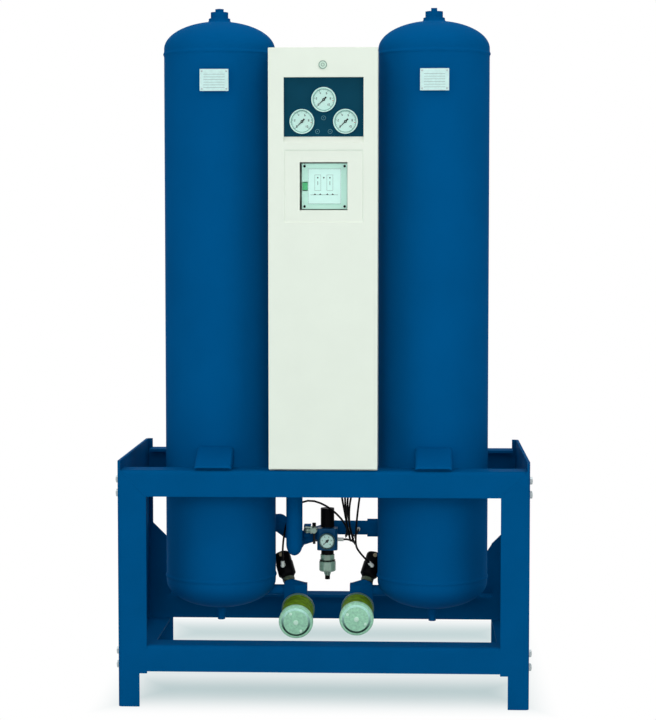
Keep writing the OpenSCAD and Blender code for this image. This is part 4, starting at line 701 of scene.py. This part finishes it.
# printed flow plan on the control box, with places from the middle of its field: frame line, two towers with
# level marks, three lamps, valves on a base line
box = dict(x=0.004, z=1.482, y=-0.299, fieldT=(0.0001, 0.0004), inkT=0.0005, halfW=0.047, halfH=0.050,
           frameIn=0.001, framePen=0.0005, towers=(-0.019, 0.015), towerHalf=0.0085, towerZ=(-0.012, 0.032),
           towerPen=0.0006, levelZ=(0.004, 0.014), levelPen=0.0014, lamps=(-0.019, -0.002, 0.015),
           lampZ=0.024, lampR=0.0022, baseX=(-0.040, 0.038), baseZ=-0.024, basePen=0.0009,
           valves=(-0.027, -0.012, 0.008, 0.023), valveSize=0.0042)
planY = box["y"] - box["inkT"]


def planStrokes(lines, pen):
    return strokes(np.array(lines) + np.array([box["x"], box["z"]] * 2), planY, pen)


def planFrame(x0, z0, x1, z1, pen):
    return planStrokes([(x0, z0, x1, z0), (x1, z0, x1, z1), (x1, z1, x0, z1), (x0, z1, x0, z0)], pen)


def flowPlan():
    b = box
    wide, high = b["halfW"] - b["frameIn"], b["halfH"] - b["frameIn"]
    out = planFrame(-wide, -high, wide, high, b["framePen"])
    foot, top = b["towerZ"]
    for x in b["towers"]:
        out += planFrame(x - b["towerHalf"], foot, x + b["towerHalf"], top, b["towerPen"])
        out += planStrokes([(x, b["levelZ"][0], x, b["levelZ"][1])], b["levelPen"])
    out += [disc(b["x"] + x, planY, b["z"] + b["lampZ"], b["lampR"]) for x in b["lamps"]]
    out += planStrokes([(b["baseX"][0], b["baseZ"], b["baseX"][1], b["baseZ"])], b["basePen"])
    size, z = b["valveSize"], b["z"] + b["baseZ"]
    for x in b["x"] + np.array(b["valves"]):
        tip = (x, planY, z + size)
        arrow = np.array([(x - size, planY, z), (x + size, planY, z), tip, tip])
        out.append((arrow, np.array([[0, 1, 2, 3]])))
    return out


back, front = (box["y"] - depth for depth in box["fieldT"])
field = slab((box["x"] - box["halfW"], front, box["z"] - box["halfH"]),
             (box["x"] + box["halfW"], back, box["z"] + box["halfH"]))
piece("boxField", [field], matField, "dryer")
piece("boxPlan", flowPlan(), matInk, "dryer")

# data plates: domed rivets in the corners and bare ruled lines
tag = dict(x=0.313, y=-0.236, z=1.785, w=0.082, h=0.062, rivetR=0.0026, rivetH=0.0012, rivetIn=0.006,
           rules=6, ruleTop=0.016, ruleStep=0.0075, ruleHalf=0.030, rulePen=0.0006, inkT=0.00015)
t = np.linspace(0, math.pi / 2, 6)
dome = list(zip(tag["rivetR"] * np.cos(t), tag["rivetH"] * np.sin(t)))
rivetX, rivetZ = tag["w"] / 2 - tag["rivetIn"], tag["h"] / 2 - tag["rivetIn"]
heights = tag["z"] + tag["ruleTop"] - tag["ruleStep"] * np.arange(tag["rules"])
rivets, rules = [], []
for x in (-tag["x"], tag["x"]):
    rivets += [revolve(dome, (x + dx, tag["y"], tag["z"] + dz), (0, -1, 0), 20)
               for dx in (-rivetX, rivetX) for dz in (-rivetZ, rivetZ)]
    lines = [(x - tag["ruleHalf"], z, x + tag["ruleHalf"], z) for z in heights]
    rules += strokes(lines, tag["y"] - tag["inkT"], tag["rulePen"])
piece("tagRivets", rivets, matZinc, "dryer")
piece("tagRules", rules, matInk, "dryer")
print("plates and panel made")

# cable tie around the tube bundle: an ellipse, larger and smaller by the strap's thickness, along its width
tie = dict(place=(0.0695, -0.068, 0.4530), along=(0.10, 0.66, -0.74), rx=0.0130, ry=0.0115, wide=0.004,
           thick=0.05)
e1, e2, d = axes(tie["along"])
a = np.linspace(0, 2 * math.pi, 48, endpoint=False)
loop = tie["rx"] * np.cos(a)[:, None] * e1 + tie["ry"] * np.sin(a)[:, None] * e2
strap = np.stack([np.array(tie["place"]) + k * d * tie["wide"] / 2 + loop * (1 + g * tie["thick"])
                  for k, g in ((-1, -1), (-1, 1), (1, 1), (1, -1), (-1, -1))])
piece("tubeTie", [quads(strap)], matBlack, "dryer")

# weld beads along the frame's mitres: a flattened round rib with ripples, thin at both ends
weld = dict(r=0.0022, mean=0.9, ripple=0.12, ripples=260, taper=30, tip=0.1, flat=0.35,
            outer=(0.577, 0.679), inner=(0.503, 0.604), y=-0.322)
beads = []
for side in (-1, 1):
    start = np.array([side * weld["outer"][0], weld["y"], weld["outer"][1]])
    end = np.array([side * weld["inner"][0], weld["y"], weld["inner"][1]])
    s = np.linspace(0, 1, 90)
    e1, e2, d = axes(end - start)
    a = np.linspace(0, 2 * math.pi, 12, endpoint=False)
    thin = np.minimum(1, np.minimum(s, 1 - s) * weld["taper"] + weld["tip"])
    size = weld["r"] * (weld["mean"] + weld["ripple"] * np.sin(s * weld["ripples"])) * thin
    ring = (np.cos(a)[:, None] * e1 + np.sin(a)[:, None] * e2) * np.array([1, weld["flat"], 1])
    beads.append(quads(start + s[:, None, None] * (end - start) + size[:, None, None] * ring))
piece("mitreWelds", beads, matFrame, "dryer")

# wide half of the rear posts, which goes on behind the vessels: a plate on the beam with a slanted top
wing = dict(x=0.503, reach=0.040, y=(0.3145, 0.3215), low=0.212, high=0.374, drop=0.062)
wings = []
for side in (-1, 1):
    ends = sorted((side * wing["x"], side * (wing["x"] - wing["reach"])))
    v, f = slab((ends[0], wing["y"][0], wing["low"]), (ends[1], wing["y"][1], wing["high"]))
    slanted = (abs(v[:, 0]) < wing["x"] - wing["reach"] / 2) & (v[:, 2] > wing["low"])
    v[slanted, 2] -= wing["drop"]
    wings.append((v, f))
piece("postWings", wings, matFrame, "dryer")
print("small pieces made")

# looks of the CAD nodes, also of those that a piece above stands for
looks = {
    matFrame: ["front_left_post", "front_right_post", "rear_left_post", "rear_right_post",
               "front_top_beam", "front_lower_beam", "rear_top_beam", "rear_lower_beam",
               "upper_side_rails", "lower_side_rails"],
    matVessel: ["vessel_brackets", "fill_plugs", "drain_plugs", "valve_bodies", "inlet_manifold",
                "outlet_tee", "left_vessel", "right_vessel", "inlet_pipe"],
    matZinc: ["frame_bolts", "bed_screens", "regulator_spindle"],
    matLock: ["cover_lock"],
    matTag: ["data_plates"],
    matNickel: ["pilot_valve"],
    matCabinet: ["cabinet_body", "front_cover"],
    matPanel: ["gauge_panel"],
    matBezel: ["gauge_cases"],
    matDial: ["gauge_dials"],
    matGlass: ["gauge_glasses"],
    matBlack: ["top_pointer", "left_pointer", "right_pointer", "regulator_pointer", "control_screws",
               "pilot_solenoids", "regulator_knob", "bowl_collar", "bowl_drain", "pilot_valve_knob",
               "left_actuator", "right_actuator"],
    matBox: ["control_box", "control_cover"],
    matGreen: ["power_rocker"],
    matRegulator: ["regulator_body"],
    matBowl: ["filter_bowl"],
    matMedia: ["filter_element", "desiccant_beds"],
    matPale: ["tube_fittings"],
    matBrass: ["check_valves"],
    matBonnet: ["valve_bonnets"],
    matMesh: ["muffler_sleeves"],
    matCast: ["muffler_caps"],
    matTube: list(tubes),
}
for material, names in looks.items():
    for nodeName in names:
        mesh = cadNodes[nodeName].data
        mesh.materials.clear()
        mesh.materials.append(material)
print("looks set")

# white sweep: painted shadow as a pale grey glow under and behind the object, lighter in the middle between
# its bands, plain white around it, for what is seen; a fade has its middle along the axis, the distances from
# it where it starts and ends, and its most
sweep = dict(half=14.0, drop=0.0005, paper=(0.74, 0.82, 0.82), rough=0.9, shadowGrey=(0.58, 0.70, 0.71),
             shadowShare=0.8, sides=(0.0, 0.46, 0.68), ends=(0.33, 0.42, 0.76), light=(0.33, 0.43, 0.20, 0.53))


def fadeAlong(tree, place, middle, start, end, most=1.0):
    # 0 at the start distance from the middle, rising smoothly to the most at the end distance
    off = mathNode(tree, "ABSOLUTE", mathNode(tree, "SUBTRACT", place, middle))
    ease = shaderNode(tree, "ShaderNodeMapRange", (-500, 0), From_Min=start, From_Max=end, To_Max=most)
    ease.interpolation_type = "SMOOTHSTEP"
    tree.links.new(off, ease.inputs["Value"])
    return ease.outputs["Result"]


def seenRays(tree):
    # 1 for rays from the camera, from a reflection or through glass
    path = tree.nodes.new("ShaderNodeLightPath").outputs
    mirrored = mathNode(tree, "MAXIMUM", path["Is Camera Ray"], path["Is Glossy Ray"])
    return mathNode(tree, "MAXIMUM", mirrored, path["Is Transmission Ray"])


floorMat = bpy.data.materials.new("floorPaper")
floorMat.use_nodes = True
tree = floorMat.node_tree
shader = tree.nodes["Principled BSDF"]
shader.inputs["Base Color"].default_value = (*sweep["paper"], 1)
shader.inputs["Roughness"].default_value = sweep["rough"]
shader.inputs["Specular IOR Level"].default_value = 0.0
coords = shaderNode(tree, "ShaderNodeTexCoord", (-1300, 0))
split = shaderNode(tree, "ShaderNodeSeparateXYZ", (-1100, 0))
tree.links.new(coords.outputs["Object"], split.inputs[0])
sides = fadeAlong(tree, split.outputs["X"], *sweep["sides"])
ends = fadeAlong(tree, split.outputs["Y"], *sweep["ends"])
# lighter middle between the front and rear painted shadow bands
light = fadeAlong(tree, split.outputs["Y"], *sweep["light"])
pale = mathNode(tree, "MAXIMUM", mathNode(tree, "MAXIMUM", sides, ends), light)
rays = seenRays(tree)
# grey emission for seen rays: a painted shadow under and behind the object
shadowGrey = shaderNode(tree, "ShaderNodeEmission", (-400, -300), Color=(*sweep["shadowGrey"], 1), Strength=1.0)
plain = shaderNode(tree, "ShaderNodeEmission", (-200, -200), Color=(1, 1, 1, 1), Strength=1.0)
shadowShare = mathNode(tree, "MULTIPLY", rays, sweep["shadowShare"])
soft = mixShader(tree, shadowShare, shader.outputs["BSDF"], shadowGrey.outputs[0])
surface = mixShader(tree, mathNode(tree, "MULTIPLY", pale, rays), soft, plain.outputs[0])
tree.links.new(surface, tree.nodes["Material Output"].inputs["Surface"])
floorMesh = bpy.data.meshes.new("floor")
h = sweep["half"]
floorMesh.from_pydata([(-h, -h, 0), (h, -h, 0), (h, h, 0), (-h, h, 0)], [], [(0, 1, 2, 3)])
floorMesh.materials.append(floorMat)
floor = bpy.data.objects.new("floor", floorMesh)
floor.location.z = -sweep["drop"]
scene.collection.objects.link(floor)

# studio: white where it is seen, a weaker fill for the rest
world = bpy.data.worlds.new("studio")
scene.world = world
world.use_nodes = True
tree = world.node_tree
tree.nodes.clear()
fill = shaderNode(tree, "ShaderNodeBackground", (-200, 100), Color=(1, 1, 1, 1), Strength=0.42)
white = shaderNode(tree, "ShaderNodeBackground", (-200, -100), Color=(1, 1, 1, 1), Strength=1.0)
output = tree.nodes.new("ShaderNodeOutputWorld")
backdrop = mixShader(tree, seenRays(tree), fill.outputs[0], white.outputs[0])
tree.links.new(backdrop, output.inputs["Surface"])


def softbox(name, place, target, size, power):
    data = bpy.data.lights.new(name, "AREA")
    data.shape = "RECTANGLE"
    data.size, data.size_y = size
    data.energy = power
    lamp = bpy.data.objects.new(name, data)
    lamp.location = place
    lamp.rotation_euler = (Vector(target) - Vector(place)).to_track_quat("-Z", "Y").to_euler()
    scene.collection.objects.link(lamp)
    return lamp


softbox("leftBox", (-3.6, -4.0, 2.4), (0, 0, 1.0), (2.4, 3.0), 34.0)
softbox("rightBox", (3.8, -3.8, 2.4), (0, 0, 1.0), (2.4, 3.0), 42.0)
softbox("frontBox", (0.2, -6.2, 2.2), (0, 0, 1.0), (3.0, 2.2), 98.0).visible_glossy = False
softbox("topBox", (0.0, -0.2, 4.5), (0, -0.2, 0.0), (6.0, 6.0), 115.0)
print("studio lit")
